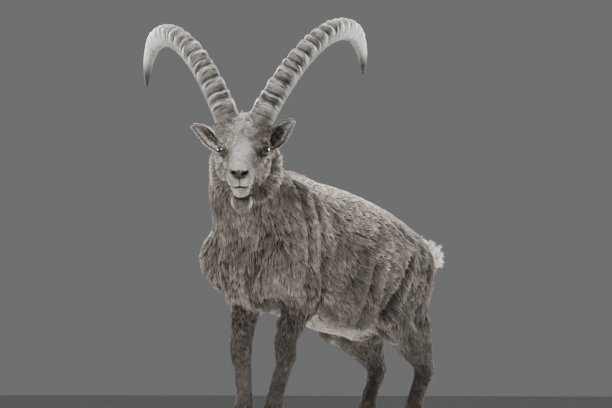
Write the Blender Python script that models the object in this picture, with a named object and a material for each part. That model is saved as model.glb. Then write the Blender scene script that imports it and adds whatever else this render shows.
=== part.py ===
"""An adult male alpine ibex, life size, standing with its head turned to its left.

Frame: +Z up, the floor is z = 0. The animal walks towards -Y, its own left side is +X.
The flesh is one smooth field of rounded masses. Each node is meshed from that field and
parted from its neighbours with thin cuts. Sizes are metres and angles are degrees.
"""

import math

import bmesh
import bpy
import numpy as np
from mathutils import Matrix, Vector

# Driving sizes
GAP = 0.0003
EYE_RADIUS = 0.0165
LID_THICKNESS = 0.0032
HORN_LENGTH = 0.817
HORN_RIDGES = 18
EAR_LENGTH = 0.118
HOOF_LENGTH = 0.070
HOOF_WIDTH = 0.025

# The head's own frame: its middle is between the eyes, it is turned and lowered from the trunk's line
HEAD_AT = np.array([0.130, -0.360, 0.831])
HEAD_TURN = math.radians(36)
HEAD_PITCH = math.radians(22)

SIDES = {"left": 1.0, "right": -1.0}
FAR = 9.0


def unit(vector):
    vector = np.asarray(vector, float)
    return vector / np.linalg.norm(vector)


HEAD_FORWARD = np.array(
    [
        math.cos(HEAD_PITCH) * math.sin(HEAD_TURN),
        -math.cos(HEAD_PITCH) * math.cos(HEAD_TURN),
        -math.sin(HEAD_PITCH),
    ]
)
HEAD_LEFT = np.array([math.cos(HEAD_TURN), math.sin(HEAD_TURN), 0.0])
HEAD_UP = np.cross(HEAD_FORWARD, HEAD_LEFT)
HEAD_AXES = np.array([HEAD_FORWARD, HEAD_UP, HEAD_LEFT])


def head_point(forward, up, left):
    """A point given along the head's own axes, in the animal's frame."""
    return HEAD_AT + np.array([forward, up, left]) @ HEAD_AXES


# Rounded masses: each returns the distance of points from its surface, below zero inside


def ellipsoid(centre, radii, axes=None):
    centre, radii = np.asarray(centre, float), np.asarray(radii, float)
    axes = np.eye(3) if axes is None else np.asarray(axes, float)

    def distance(points):
        local = (points - centre) @ axes.T
        scaled = np.linalg.norm(local / radii, axis=1)
        slope = np.linalg.norm(local / radii**2, axis=1)
        return scaled * (scaled - 1.0) / np.maximum(slope, 1e-6)

    reach = radii.max()
    return distance, centre - reach, centre + reach


def limb(start, end, start_radius, end_radius, side=None, flat=1.0):
    """A round-ended taper between two joints. flat under 1 thins it along side."""
    start, end = np.asarray(start, float), np.asarray(end, float)
    along = end - start
    side = unit([1.0, 0.0, 0.0] if side is None else side)

    def distance(points):
        share = np.clip((points - start) @ along / (along @ along), 0.0, 1.0)
        off = points - start - share[:, None] * along
        stretched = (off**2).sum(1) + (flat**-2 - 1.0) * (off @ side) ** 2
        radius = start_radius + share * (end_radius - start_radius)
        return (np.sqrt(stretched) - radius) * min(1.0, flat + 0.15)

    reach = max(start_radius, end_radius)
    low = np.minimum(start, end) - reach
    return distance, low, np.maximum(start, end) + reach


def smooth_rows(rows, steps):
    """Rows of numbers with steps - 1 new rows between each two, on a smooth curve through them."""
    rows = np.asarray(rows, float)
    padded = np.vstack([2 * rows[0] - rows[1], rows, 2 * rows[-1] - rows[-2]])
    made = []
    for i in range(1, len(padded) - 2):
        a, b, c, d = padded[i - 1 : i + 3]
        for t in np.arange(steps) / steps:
            made.append(
                0.5
                * (
                    2 * b
                    + (c - a) * t
                    + (2 * a - 5 * b + 4 * c - d) * t**2
                    + (3 * b - a - 3 * c + d) * t**3
                )
            )
    made.append(rows[-1])
    return np.array(made)


def loft(stations, side, steps=3, roof=2.0):
    """A body with an oval section. A station is centre x, y, z, half width, height above, height below.

    roof under 2 makes the upper half narrower towards its top, as ribs fall away from a spine.
    """
    rows = smooth_rows(stations, steps)
    side = unit(side)

    def distance(points):
        nearest = np.full(len(points), FAR)
        for first, second in zip(rows[:-1], rows[1:]):
            start, along = first[:3], second[:3] - first[:3]
            share = np.clip((points - start) @ along / (along @ along), 0.0, 1.0)
            size = first[3:] + share[:, None] * (second[3:] - first[3:])
            off = points - start - share[:, None] * along
            forward = unit(along - side * (along @ side))
            up = np.cross(side, forward)
            up = up * np.sign(up[2] if abs(up[2]) > 0.2 else -up[1])
            across, high, deep = off @ side, off @ up, off @ forward
            tall = np.where(high > 0, size[:, 1], size[:, 2])
            blunt = 0.6 * size.min(1)
            power = np.where(high > 0, roof, 2.0)
            oval = np.abs(across / size[:, 0]) ** power + np.abs(high / tall) ** power
            ratio = np.sqrt(oval ** (2 / power) + (deep / blunt) ** 2)
            length = np.sqrt((off**2).sum(1))
            inner = size.min(1)
            found = np.where(ratio > 0.05, length - length / np.maximum(ratio, 0.05), -inner)
            nearest = np.minimum(nearest, found)
        return nearest

    reach = rows[:, 3:].max()
    return distance, rows[:, :3].min(0) - reach, rows[:, :3].max(0) + reach


def blend(first, second, width):
    share = np.maximum(width - np.abs(first - second), 0.0) / width
    return np.minimum(first, second) - share**2 * width / 4


class Field:
    """Masses fused one after the other, and hollows cut from them, each with its own blending width."""

    def __init__(self):
        self.steps = []

    def add(self, mass, width=0.03):
        self.steps.append((1, mass, width))

    def cut(self, mass, width=0.003):
        self.steps.append((-1, mass, width))

    def __call__(self, points):
        value = np.full(len(points), FAR)
        for sign, (distance, low, high), width in self.steps:
            margin = 0.06
            near = np.all((points > low - margin) & (points < high + margin), axis=1)
            if not near.any():
                continue
            found = distance(points[near])
            if sign > 0:
                value[near] = blend(value[near], found, width)
            else:
                value[near] = -blend(-value[near], found, width)
        return value

    def slope(self, points, step=0.0008):
        """The outward direction at points."""
        found = np.stack(
            [self(points + step * axis) - self(points - step * axis) for axis in np.eye(3)], 1
        )
        return found / np.maximum(np.linalg.norm(found, axis=1, keepdims=True), 1e-9)

    def onto(self, points, rounds=4):
        """Points moved to the field's surface."""
        for _ in range(rounds):
            points = points - self.slope(points) * self(points)[:, None]
        return points


# The flesh, region by region


def mirrored(point, sign):
    return np.asarray(point, float) * np.array([sign, 1.0, 1.0])


# y, height of the back, height of the belly, half width
TRUNK = (
    (-0.235, 0.630, 0.480, 0.080),
    (-0.190, 0.700, 0.410, 0.112),
    (-0.120, 0.746, 0.364, 0.138),
    (-0.020, 0.774, 0.352, 0.152),
    (0.080, 0.768, 0.338, 0.166),
    (0.190, 0.750, 0.310, 0.184),
    (0.300, 0.723, 0.296, 0.186),
    (0.400, 0.697, 0.314, 0.168),
    (0.480, 0.664, 0.358, 0.138),
    (0.550, 0.630, 0.400, 0.104),
    (0.600, 0.590, 0.440, 0.068),
)
# x, y, z of the middle, half width, reach towards the nape, reach towards the throat
NECK = (
    (0.000, -0.010, 0.600, 0.115, 0.150, 0.150),
    (0.003, -0.130, 0.655, 0.138, 0.140, 0.145),
    (0.023, -0.215, 0.735, 0.120, 0.122, 0.128),
    (0.052, -0.264, 0.808, 0.104, 0.105, 0.112),
    (0.072, -0.290, 0.856, 0.088, 0.088, 0.095),
)
LEGS = {
    "front_left": {
        "shoulder": (0.112, -0.175, 0.535),
        "elbow": (0.112, -0.060, 0.430),
        "carpus": (0.094, -0.130, 0.252),
        "fetlock": (0.068, -0.152, 0.088),
        "hoof": (0.062, -0.182, 0.0),
    },
    "front_right": {
        "shoulder": (-0.112, -0.185, 0.535),
        "elbow": (-0.116, -0.055, 0.430),
        "carpus": (-0.100, -0.108, 0.252),
        "fetlock": (-0.084, -0.112, 0.088),
        "hoof": (-0.082, -0.142, 0.0),
    },
    "hind_left": {
        "hip": (0.074, 0.450, 0.520),
        "stifle": (0.118, 0.338, 0.355),
        "hock": (0.092, 0.538, 0.208),
        "fetlock": (0.088, 0.492, 0.082),
        "hoof": (0.088, 0.460, 0.0),
    },
    "hind_right": {
        "hip": (-0.074, 0.450, 0.520),
        "stifle": (-0.118, 0.342, 0.355),
        "hock": (-0.092, 0.532, 0.206),
        "fetlock": (-0.088, 0.480, 0.082),
        "hoof": (-0.088, 0.447, 0.0),
    },
}


def add_trunk(field):
    stations = []
    for y, top, low, wide in TRUNK:
        middle = low + 0.54 * (top - low)
        stations.append((0.0, y, middle, wide, top - middle, middle - low))
    field.add(loft(stations, (1, 0, 0), roof=1.7))
    field.add(ellipsoid((0.0, -0.020, 0.690), (0.050, 0.100, 0.092)), 0.04)
    field.add(ellipsoid((0.0, -0.195, 0.500), (0.080, 0.070, 0.110)), 0.05)
    field.add(ellipsoid((0.0, 0.330, 0.318), (0.020, 0.060, 0.034)), 0.03)
    for sign in SIDES.values():
        field.add(ellipsoid(mirrored((0.108, -0.085, 0.585), sign), (0.046, 0.088, 0.155)), 0.04)
        field.add(ellipsoid(mirrored((0.096, -0.180, 0.512), sign), (0.054, 0.062, 0.072)), 0.04)
        field.add(ellipsoid(mirrored((0.072, 0.448, 0.508), sign), (0.058, 0.085, 0.085)), 0.05)
        field.add(ellipsoid(mirrored((0.046, 0.522, 0.468), sign), (0.048, 0.058, 0.102)), 0.05)


def add_neck(field):
    field.add(loft(NECK, (math.cos(HEAD_TURN * 0.4), math.sin(HEAD_TURN * 0.4), 0)), 0.06)


def add_front_leg(field, leg):
    sign = np.sign(leg["elbow"][0])
    elbow, carpus, fetlock, hoof = (np.array(leg[k]) for k in ("elbow", "carpus", "fetlock", "hoof"))
    field.add(limb(leg["shoulder"], elbow, 0.066, 0.060, flat=0.72), 0.05)
    field.add(limb(elbow, carpus + (0, 0.002, 0.035), 0.060, 0.040, flat=0.74), 0.03)
    field.add(ellipsoid(elbow + (0.0, 0.035, 0.020), (0.028, 0.030, 0.034)), 0.03)
    field.add(ellipsoid(carpus, (0.030, 0.033, 0.042)), 0.02)
    field.add(limb(carpus + (0, 0.004, -0.02), fetlock + (0, 0.002, 0.02), 0.026, 0.023), 0.02)
    field.add(limb(carpus + (0, 0.014, -0.01), fetlock + (0, 0.010, 0.03), 0.020, 0.018), 0.012)
    add_foot(field, fetlock, hoof, sign)


def add_hind_leg(field, leg):
    sign = np.sign(leg["hip"][0])
    hip, stifle, hock, fetlock, hoof = (
        np.array(leg[k]) for k in ("hip", "stifle", "hock", "fetlock", "hoof")
    )
    field.add(limb(hip, stifle, 0.088, 0.060, flat=0.66), 0.05)
    field.add(limb(hip + (0, 0.030, -0.02), hock + (0, -0.045, 0.11), 0.068, 0.046, flat=0.72), 0.05)
    field.add(limb(stifle + (0, 0.01, -0.01), hock + (0, -0.03, 0.020), 0.062, 0.030, flat=0.8), 0.03)
    field.add(limb(hock + (0, -0.020, 0.130), hock + (0, 0.018, 0.014), 0.030, 0.016), 0.03)
    field.add(ellipsoid(hock, (0.026, 0.031, 0.036)), 0.015)
    field.add(limb(hock + (0, -0.004, -0.02), fetlock + (0, 0.002, 0.02), 0.027, 0.023), 0.02)
    field.add(limb(hock + (0, 0.014, -0.01), fetlock + (0, 0.012, 0.03), 0.020, 0.018), 0.012)
    add_foot(field, fetlock, hoof, sign)


def add_foot(field, fetlock, hoof, sign):
    field.add(ellipsoid(fetlock, (0.027, 0.028, 0.030)), 0.015)
    for toe in (-1.0, 1.0):
        top = fetlock + (toe * 0.010, -0.004, -0.006)
        low = hoof + (toe * 0.0120, 0.0165, 0.030)
        field.add(limb(top, low, 0.020, 0.0155), 0.008)


# forward, top, bottom and half width along the head, in the head's own axes
SKULL = (
    (-0.105, 0.056, -0.070, 0.056),
    (-0.070, 0.072, -0.090, 0.063),
    (-0.030, 0.070, -0.096, 0.060),
    (0.010, 0.052, -0.094, 0.053),
    (0.050, 0.041, -0.088, 0.044),
    (0.090, 0.030, -0.085, 0.037),
    (0.122, 0.019, -0.090, 0.036),
    (0.142, 0.006, -0.084, 0.032),
)
NOSTRIL = (0.160, -0.016, 0.0185)
MOUTH = ((0.162, -0.061, 0.0), (0.153, -0.062, 0.019), (0.126, -0.062, 0.036), (0.090, -0.054, 0.042))
EYE = (0.006, 0.000, 0.0590)
EYE_LOOKS = (0.55, 0.03, 0.835)
# half the lids' opening: into the eye, upwards, along the lids
LID_OPENING = (0.0105, 0.0078, 0.0142)
HORNS = {
    "left": {
        "base": (-0.042, 0.077, 0.0485), "lean": 25.0, "splay": 27.6,
        "twist": 14.6, "turn": 121.8, "gather": 0.44,
    },
    "right": {
        "base": (-0.046, 0.076, 0.0475), "lean": 28.4, "splay": 21.2,
        "twist": 20.8, "turn": 124.7, "gather": 0.15,
    },
}


def horn_base(side):
    """Where a horn grows from the skull, and the direction that it starts in."""
    shape, sign = HORNS[side], SIDES[side]
    forward, up, left = HEAD_AXES
    lean, splay = math.radians(shape["lean"]), math.radians(shape["splay"])
    start = math.cos(splay) * (math.cos(lean) * up - math.sin(lean) * forward)
    at = head_point(shape["base"][0], shape["base"][1], sign * shape["base"][2])
    return at, start + math.sin(splay) * sign * left


def head_mass(at, radii, tilt=0.0, turn=0.0):
    """An ellipsoid in the head's own axes: radii forward, up, left. tilt lifts its front, turn turns it."""
    c, s = math.cos(math.radians(tilt)), math.sin(math.radians(tilt))
    ct, st = math.cos(math.radians(turn)), math.sin(math.radians(turn))
    axes = np.array([[c * ct, s, c * st], [-s * ct, c, -s * st], [-st, 0, ct]]) @ HEAD_AXES
    return ellipsoid(head_point(*at), radii, axes)


def add_head(field):
    stations = []
    for forward, top, low, wide in SKULL:
        middle = low + 0.55 * (top - low)
        stations.append((*head_point(forward, middle, 0), wide, top - middle, middle - low))
    field.add(loft(stations, HEAD_LEFT), 0.035)
    field.add(head_mass((0.130, -0.014, 0.0), (0.034, 0.026, 0.032)), 0.012)
    field.add(head_mass((0.122, -0.078, 0.0), (0.032, 0.026, 0.027)), 0.012)
    field.add(head_mass((-0.040, 0.058, 0.0), (0.050, 0.034, 0.060)), 0.02)
    for name, sign in SIDES.items():
        base, grows = horn_base(name)
        field.add(limb(head_point(-0.030, 0.020, sign * 0.030), base - grows * 0.030, 0.042, 0.050), 0.015)
        field.add(head_mass((-0.010, 0.004, sign * 0.048), (0.034, 0.028, 0.024), turn=sign * 8), 0.02)
        field.add(head_mass((0.000, 0.023, sign * 0.056), (0.024, 0.0085, 0.018), turn=sign * 20), 0.010)
        field.add(head_mass((-0.035, -0.048, sign * 0.044), (0.052, 0.044, 0.020)), 0.02)
        field.add(head_mass((0.060, -0.010, sign * 0.030), (0.045, 0.022, 0.014)), 0.015)
        field.add(head_mass((0.134, -0.041, sign * 0.018), (0.029, 0.020, 0.020), turn=sign * 18), 0.008)
        field.add(head_mass((-0.060, 0.000, sign * 0.058), (0.026, 0.026, 0.022)), 0.015)
        eye = head_point(EYE[0], EYE[1], sign * EYE[2])
        field.add(ellipsoid(eye, [EYE_RADIUS + LID_THICKNESS] * 3), 0.006)
        looks = np.array([EYE_LOOKS[0], EYE_LOOKS[1], sign * EYE_LOOKS[2]])
        front = np.array(EYE) * (1, 1, sign) + looks * EYE_RADIUS * 1.05
        swing = sign * math.degrees(math.atan2(EYE_LOOKS[2], EYE_LOOKS[0]))
        field.cut(head_mass(front, LID_OPENING, turn=swing), 0.002)
        at = (NOSTRIL[0], NOSTRIL[1], sign * NOSTRIL[2])
        field.cut(head_mass(at, (0.012, 0.0050, 0.0095), tilt=-25, turn=sign * 35), 0.003)
        path = [head_point(f, u, sign * w) for f, u, w in MOUTH]
        for start, end, thick in zip(path[:-1], path[1:], (0.0032, 0.0028, 0.0022)):
            field.cut(limb(start, end, thick, thick - 0.0003), 0.003)
    field.cut(limb(head_point(0.168, -0.024, 0), head_point(0.165, -0.058, 0), 0.0022, 0.0026), 0.003)


def flesh():
    field = Field()
    add_trunk(field)
    add_neck(field)
    for name, leg in LEGS.items():
        (add_front_leg if name.startswith("front") else add_hind_leg)(field, leg)
    add_head(field)
    return field


# Meshing


def sampled(field, axes, step, block=4):
    """The field on a grid, worked out only in the blocks of it that lie near the surface."""
    counts = [len(a) for a in axes]
    value = np.empty(counts)
    starts = [np.arange(0, c, block) for c in counts]
    middles = [a[s] + step * (block - 1) / 2 for a, s in zip(axes, starts)]
    centres = np.stack(np.meshgrid(*middles, indexing="ij"), -1).reshape(-1, 3)
    coarse = field(centres).reshape([len(s) for s in starts])
    expanded = coarse.repeat(block, 0).repeat(block, 1).repeat(block, 2)
    value[:] = expanded[: counts[0], : counts[1], : counts[2]]
    near = np.argwhere(np.abs(value) < 1.5 * step * block)
    value[tuple(near.T)] = field(np.stack([axes[i][near[:, i]] for i in range(3)], 1))
    return value


def unpinched(value, step):
    """Grid values with no square or cube whose inner corners touch only across a diagonal."""
    small = 0.05 * step
    for _ in range(30):
        changed = 0
        for axis in range(3):
            b, c = (axis + 1) % 3, (axis + 2) % 3
            corners = []
            for db in (0, 1):
                for dc in (0, 1):
                    part = [slice(None)] * 3
                    part[b] = slice(db, value.shape[b] - 1 + db)
                    part[c] = slice(dc, value.shape[c] - 1 + dc)
                    corners.append(tuple(part))
            inside = [value[part] < 0 for part in corners]
            for first, second, third, fourth in ((0, 3, 1, 2), (1, 2, 0, 3)):
                bad = inside[first] & inside[second] & ~inside[third] & ~inside[fourth]
                if bad.any():
                    value[corners[first]][bad] = small
                    changed += bad.sum()
        parts = [
            tuple(slice(o, n - 1 + o) for o, n in zip((i, j, k), value.shape))
            for i in (0, 1)
            for j in (0, 1)
            for k in (0, 1)
        ]
        inside = np.stack([value[part] < 0 for part in parts])
        for first in range(4):
            second = 7 - first
            rest = np.delete(inside, (first, second), axis=0)
            alone = inside[first] & inside[second] & ~rest.any(0)
            empty = ~inside[first] & ~inside[second] & rest.all(0)
            value[parts[first]][alone] = small
            value[parts[first]][empty] = -small
            changed += alone.sum() + empty.sum()
        if not changed:
            break
    return value


def surface_of(field, low, high, step):
    """The field's surface inside a box, as points and quads: one point in each grid cell that it crosses."""
    low, high = np.asarray(low, float), np.asarray(high, float)
    counts = np.ceil((high - low) / step).astype(int) + 1
    axes = [low[i] + step * np.arange(counts[i]) for i in range(3)]
    value = sampled(field, axes, step)
    value = np.where(np.abs(value) < 1e-9, 1e-9, value)
    for axis in range(3):
        edge = [slice(None)] * 3
        for end in (0, -1):
            edge[axis] = end
            value[tuple(edge)] = np.maximum(value[tuple(edge)], 1e-4)
    value = unpinched(value, step)
    cells = counts - 1
    total, crossings = np.zeros((*cells, 3)), np.zeros(cells)
    corners = np.array([(i, j, k) for i in (0, 1) for j in (0, 1) for k in (0, 1)])

    def corner(offset):
        return value[tuple(slice(o, o + c) for o, c in zip(offset, cells))]

    for a in corners:
        for b in corners:
            if (b - a).sum() != 1 or np.abs(b - a).sum() != 1:
                continue
            first, second = corner(a), corner(b)
            crossed = (first < 0) != (second < 0)
            share = np.where(crossed, first / np.where(crossed, first - second, 1.0), 0.0)
            total += np.where(crossed[..., None], a + share[..., None] * (b - a), 0.0)
            crossings += crossed
    used = crossings > 0
    number = np.full(cells, -1)
    number[used] = np.arange(used.sum())
    where = np.argwhere(used)
    points = low + step * (where + total[used] / crossings[used][:, None])
    quads = []
    for axis in range(3):
        b, c = (axis + 1) % 3, (axis + 2) % 3
        inner = [slice(1, -1)] * 3
        inner[axis] = slice(0, -1)
        ahead = [slice(1, -1)] * 3
        ahead[axis] = slice(1, None)
        first, second = value[tuple(inner)] < 0, value[tuple(ahead)] < 0
        for mask, flip in ((first & ~second, False), (~first & second, True)):
            at = np.argwhere(mask) + 1
            at[:, axis] -= 1
            ring = []
            for db, dc in ((0, 0), (-1, 0), (-1, -1), (0, -1)):
                shifted = at.copy()
                shifted[:, b] += db
                shifted[:, c] += dc
                ring.append(number[tuple(shifted.T)])
            ring = np.stack(ring, 1)
            quads.append(ring[:, ::-1] if flip else ring)
    return points, np.concatenate(quads)


def new_object(name, points, faces):
    mesh = bpy.data.meshes.new(name)
    corners = [tuple(int(i) for i in face) for face in faces]
    mesh.from_pydata([tuple(p) for p in np.asarray(points, float)], [], corners)
    mesh.update()
    made = bpy.data.objects.new(name, mesh)
    bpy.context.scene.collection.objects.link(made)
    return made


def apply_modifiers(obj):
    bpy.context.view_layer.update()
    graph = bpy.context.evaluated_depsgraph_get()
    mesh = bpy.data.meshes.new_from_object(obj.evaluated_get(graph))
    obj.modifiers.clear()
    obj.data = mesh
    return obj


def is_closed(obj):
    work = bmesh.new()
    work.from_mesh(obj.data)
    closed = all(edge.is_manifold for edge in work.edges)
    work.free()
    return closed


def meshed(name, field, low, high, step, triangles):
    """The field inside a box as one closed object with about that many triangles.

    A grid can pinch a narrow cleft into a shared edge, so it is shifted until none is left.
    """
    low, high = np.asarray(low, float), np.asarray(high, float)
    for attempt in range(8):
        shift = step * attempt * np.array([0.13, 0.29, 0.41])
        points, quads = surface_of(field, low - shift, high, step)
        inside = np.all((points > low + 2 * step) & (points < high - 2 * step), axis=1)
        points[inside] = field.onto(points[inside], 2)
        made = new_object(name, points, quads)
        keep_largest(made)
        count = 2 * len(made.data.polygons)
        if count > triangles:
            thin = made.modifiers.new("thin", "DECIMATE")
            thin.ratio = triangles / count
            apply_modifiers(made)
        if is_closed(made):
            return made
        bpy.data.objects.remove(made)
    raise RuntimeError(f"no closed surface for {name}")


def keep_largest(obj):
    """Leaves only the largest closed surface of an object."""
    work = bmesh.new()
    work.from_mesh(obj.data)
    work.verts.ensure_lookup_table()
    seen, groups = set(), []
    for vert in work.verts:
        if vert.index in seen:
            continue
        stack, group = [vert], []
        seen.add(vert.index)
        while stack:
            at = stack.pop()
            group.append(at)
            for edge in at.link_edges:
                other = edge.other_vert(at)
                if other.index not in seen:
                    seen.add(other.index)
                    stack.append(other)
        groups.append(group)
    groups.sort(key=len)
    for group in groups[:-1]:
        bmesh.ops.delete(work, geom=group, context="VERTS")
    work.to_mesh(obj.data)
    work.free()


def cut_plane(obj, at, keep_towards, clear=GAP / 2):
    """Cuts an object by a plane and closes the cut, keeping the side that keep_towards points to."""
    normal = unit(keep_towards)
    at = np.asarray(at, float) + normal * clear
    work = bmesh.new()
    work.from_mesh(obj.data)
    made = bmesh.ops.bisect_plane(
        work,
        geom=work.verts[:] + work.edges[:] + work.faces[:],
        dist=1e-7,
        plane_co=at,
        plane_no=-normal,
        clear_outer=True,
    )
    edges = [e for e in made["geom_cut"] if isinstance(e, bmesh.types.BMEdge) and e.is_boundary]
    if edges:
        filled = bmesh.ops.holes_fill(work, edges=edges, sides=0)
        bmesh.ops.triangulate(work, faces=filled["faces"])
    bmesh.ops.recalc_face_normals(work, faces=work.faces[:])
    work.to_mesh(obj.data)
    work.free()
    return obj


def boolean(obj, other, operation, solver="EXACT"):
    step = obj.modifiers.new("cut", "BOOLEAN")
    step.operation = operation
    step.object = other
    step.solver = solver
    return apply_modifiers(obj)


def fused(obj, pieces, solver="MANIFOLD"):
    """One closed body from an object and the pieces rooted in it."""
    group = bpy.data.collections.new("pieces")
    bpy.context.scene.collection.children.link(group)
    for piece in pieces:
        for owner in piece.users_collection:
            owner.objects.unlink(piece)
        group.objects.link(piece)
    step = obj.modifiers.new("join", "BOOLEAN")
    step.operation = "UNION"
    step.operand_type = "COLLECTION"
    step.collection = group
    step.solver = solver
    apply_modifiers(obj)
    for piece in pieces:
        bpy.data.objects.remove(piece)
    bpy.data.collections.remove(group)
    keep_largest(obj)
    return obj


def ball_object(name, centre, radius, rings=8):
    work = bmesh.new()
    bmesh.ops.create_uvsphere(work, u_segments=rings * 2, v_segments=rings, radius=radius)
    bmesh.ops.translate(work, verts=work.verts[:], vec=Vector(centre))
    mesh = bpy.data.meshes.new(name)
    work.to_mesh(mesh)
    work.free()
    made = bpy.data.objects.new(name, mesh)
    bpy.context.scene.collection.objects.link(made)
    return made


# Horns


def horn_line(side, count):
    """Points along a horn's middle, and for each its direction and the way its front face looks."""
    shape, sign = HORNS[side], SIDES[side]
    forward, up, left = HEAD_AXES
    lean, twist, turn = (math.radians(shape[k]) for k in ("lean", "twist", "turn"))
    base, start = horn_base(side)
    back = -(math.cos(lean) * forward + math.sin(lean) * up)
    out = np.cross(start, back)
    out = out * np.sign(out @ (sign * left))
    bend = math.cos(twist) * back + math.sin(twist) * out
    bend = unit(bend - start * (bend @ start))
    share = np.linspace(0.0, 1.0, count)
    angle = turn * (share + shape["gather"] * (3 * share**2 - 2 * share**3 - share))
    heading = np.cos(angle)[:, None] * start + np.sin(angle)[:, None] * bend
    facing = np.sin(angle)[:, None] * start - np.cos(angle)[:, None] * bend
    steps = (heading[1:] + heading[:-1]) / 2 * HORN_LENGTH / (count - 1)
    line = base + np.vstack([np.zeros(3), np.cumsum(steps, 0)])
    return line, heading, facing, share


HORN_SECTION = 12
HORN_SET_BACK = 0.003
HORN_ROOT = 0.022


def ridge_start(number):
    """Share of the horn's length where a ridge starts. They come unevenly, broad ones between narrow."""
    return 0.006 + 0.77 * ((number + 0.26 * math.sin(2.1 * number)) / HORN_RIDGES) ** 0.94


def horn_rings():
    """Places along a horn where its outline changes: three to each ridge, then the smooth tip."""
    spots = []
    for ridge in range(HORN_RIDGES):
        at, nxt = ridge_start(ridge), ridge_start(ridge + 1)
        spots += [(at, 0.0), (at + 0.50 * (nxt - at), 0.35), (at + 0.80 * (nxt - at), 1.0)]
    spots += [(s, 0.0) for s in (0.79, 0.83, 0.87, 0.91, 0.945, 0.972, 0.990)]
    return spots


def horn_object(name, side, grow=0.0):
    line, heading, facing, share = horn_line(side, 400)
    spots = [(-HORN_ROOT / HORN_LENGTH - grow / HORN_LENGTH, 0.0), (0.0, 0.0)] + horn_rings()
    rings = []
    for at, ridge in spots:
        clamped = max(at, 0.0)
        middle = np.array([np.interp(clamped, share, line[:, i]) for i in range(3)])
        ahead = unit([np.interp(clamped, share, heading[:, i]) for i in range(3)])
        front = unit([np.interp(clamped, share, facing[:, i]) for i in range(3)])
        middle = middle + ahead * min(at, 0.0) * HORN_LENGTH - front * HORN_SET_BACK
        across = np.cross(ahead, front)
        taper = (1 - clamped) ** 0.46
        wide = 0.0350 * taper * (1 - 0.10 * clamped) + grow
        deep = 0.0475 * taper + grow
        lift = ridge * 0.0065 * min(1.0, 0.55 + 1.3 * clamped) * max(0.0, 1 - clamped * 0.35)
        ring = []
        for i in range(HORN_SECTION):
            turn = 2 * math.pi * (i + 0.5) / HORN_SECTION
            c, s = math.cos(turn), math.sin(turn)
            squared = (abs(c) ** 2.6 + abs(s) ** 2.6) ** (-1 / 2.6)
            narrow = 1.0 - 0.24 * max(0.0, -c) ** 1.5
            frontness = max(0.0, c) ** 0.7 + 0.35 * (1 - abs(c))
            ring.append(
                middle
                + front * c * squared * deep
                + across * s * squared * wide * narrow
                + front * lift * frontness
                + across * np.sign(s) * lift * 0.25 * frontness
            )
        rings.append(ring)
    return closed_rings(name, rings, np.mean(rings[0], 0), line[-1])


def finished(obj):
    """Faces turned outwards."""
    work = bmesh.new()
    work.from_mesh(obj.data)
    bmesh.ops.recalc_face_normals(work, faces=work.faces[:])
    if work.calc_volume(signed=True) < 0:
        bmesh.ops.reverse_faces(work, faces=work.faces[:])
    work.to_mesh(obj.data)
    work.free()
    return obj


# Ears

EAR_ROOT = (-0.056, -0.018, 0.062)
EAR_AIMS = {"left": (-0.30, 0.70, 0.57), "right": (-0.25, 0.64, 0.72)}
EAR_OPENS = (0.80, -0.35, 0.30)
EAR_ROUND = 9
EAR_WALL = 0.0042
EAR_CURL = 0.018
EAR_DEEP = 0.75
# share of the length, half width, half angle of the roll, how far the cup is hollowed
EAR_OUTLINE = (
    (-0.10, 0.0125, 120.0, 0.0),
    (0.04, 0.0150, 118.0, 0.0),
    (0.14, 0.0200, 112.0, 0.6),
    (0.28, 0.0280, 104.0, 0.92),
    (0.45, 0.0325, 95.0, 1.0),
    (0.62, 0.0300, 82.0, 1.0),
    (0.78, 0.0230, 74.0, 1.0),
    (0.90, 0.0135, 70.0, 0.82),
    (0.97, 0.0070, 70.0, 0.56),
)


def ear_frame(side):
    """An ear's root, the way it points, the way its cup opens and the direction across it."""
    sign, aims = SIDES[side], EAR_AIMS[side]
    root = head_point(EAR_ROOT[0], EAR_ROOT[1], sign * EAR_ROOT[2])
    aim = unit(np.array([aims[0], aims[1], sign * aims[2]]) @ HEAD_AXES)
    opens = np.array([EAR_OPENS[0], EAR_OPENS[1], sign * EAR_OPENS[2]]) @ HEAD_AXES
    opens = unit(opens - aim * (opens @ aim))
    return root, aim, opens, np.cross(aim, opens)


def ear_ring_middle(side, share):
    root, aim, opens, _ = ear_frame(side)
    return root + aim * EAR_LENGTH * share + opens * EAR_CURL * max(share, 0.0) ** 2


def ear_object(name, side):
    """A leaf rolled into a cup, open to the front, with a wall of even thickness and a solid root."""
    root, aim, opens, across = ear_frame(side)
    rings = []
    for share, wide, roll, hollow in EAR_OUTLINE:
        middle = ear_ring_middle(side, share)
        half = math.radians(roll)
        radius = wide / max(math.sin(min(half, math.pi / 2)), 0.3)
        turns = [half * (2 * i / (EAR_ROUND - 1) - 1) for i in range(EAR_ROUND)]
        ring = [middle + radius * (across * math.sin(t) - opens * EAR_DEEP * math.cos(t)) for t in turns]
        inner = max(radius - EAR_WALL, radius * 0.4)
        for t in reversed(turns):
            cup = middle + inner * (across * math.sin(t) * 0.96 - opens * EAR_DEEP * math.cos(t))
            chord = across * math.sin(half) * t / half - opens * EAR_DEEP * math.cos(half)
            solid = middle + radius * 0.92 * chord
            ring.append(cup * hollow + solid * (1 - hollow))
        rings.append(ring)
    return closed_rings(name, rings, np.mean(rings[0], 0), root + aim * EAR_LENGTH + opens * EAR_CURL)


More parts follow.
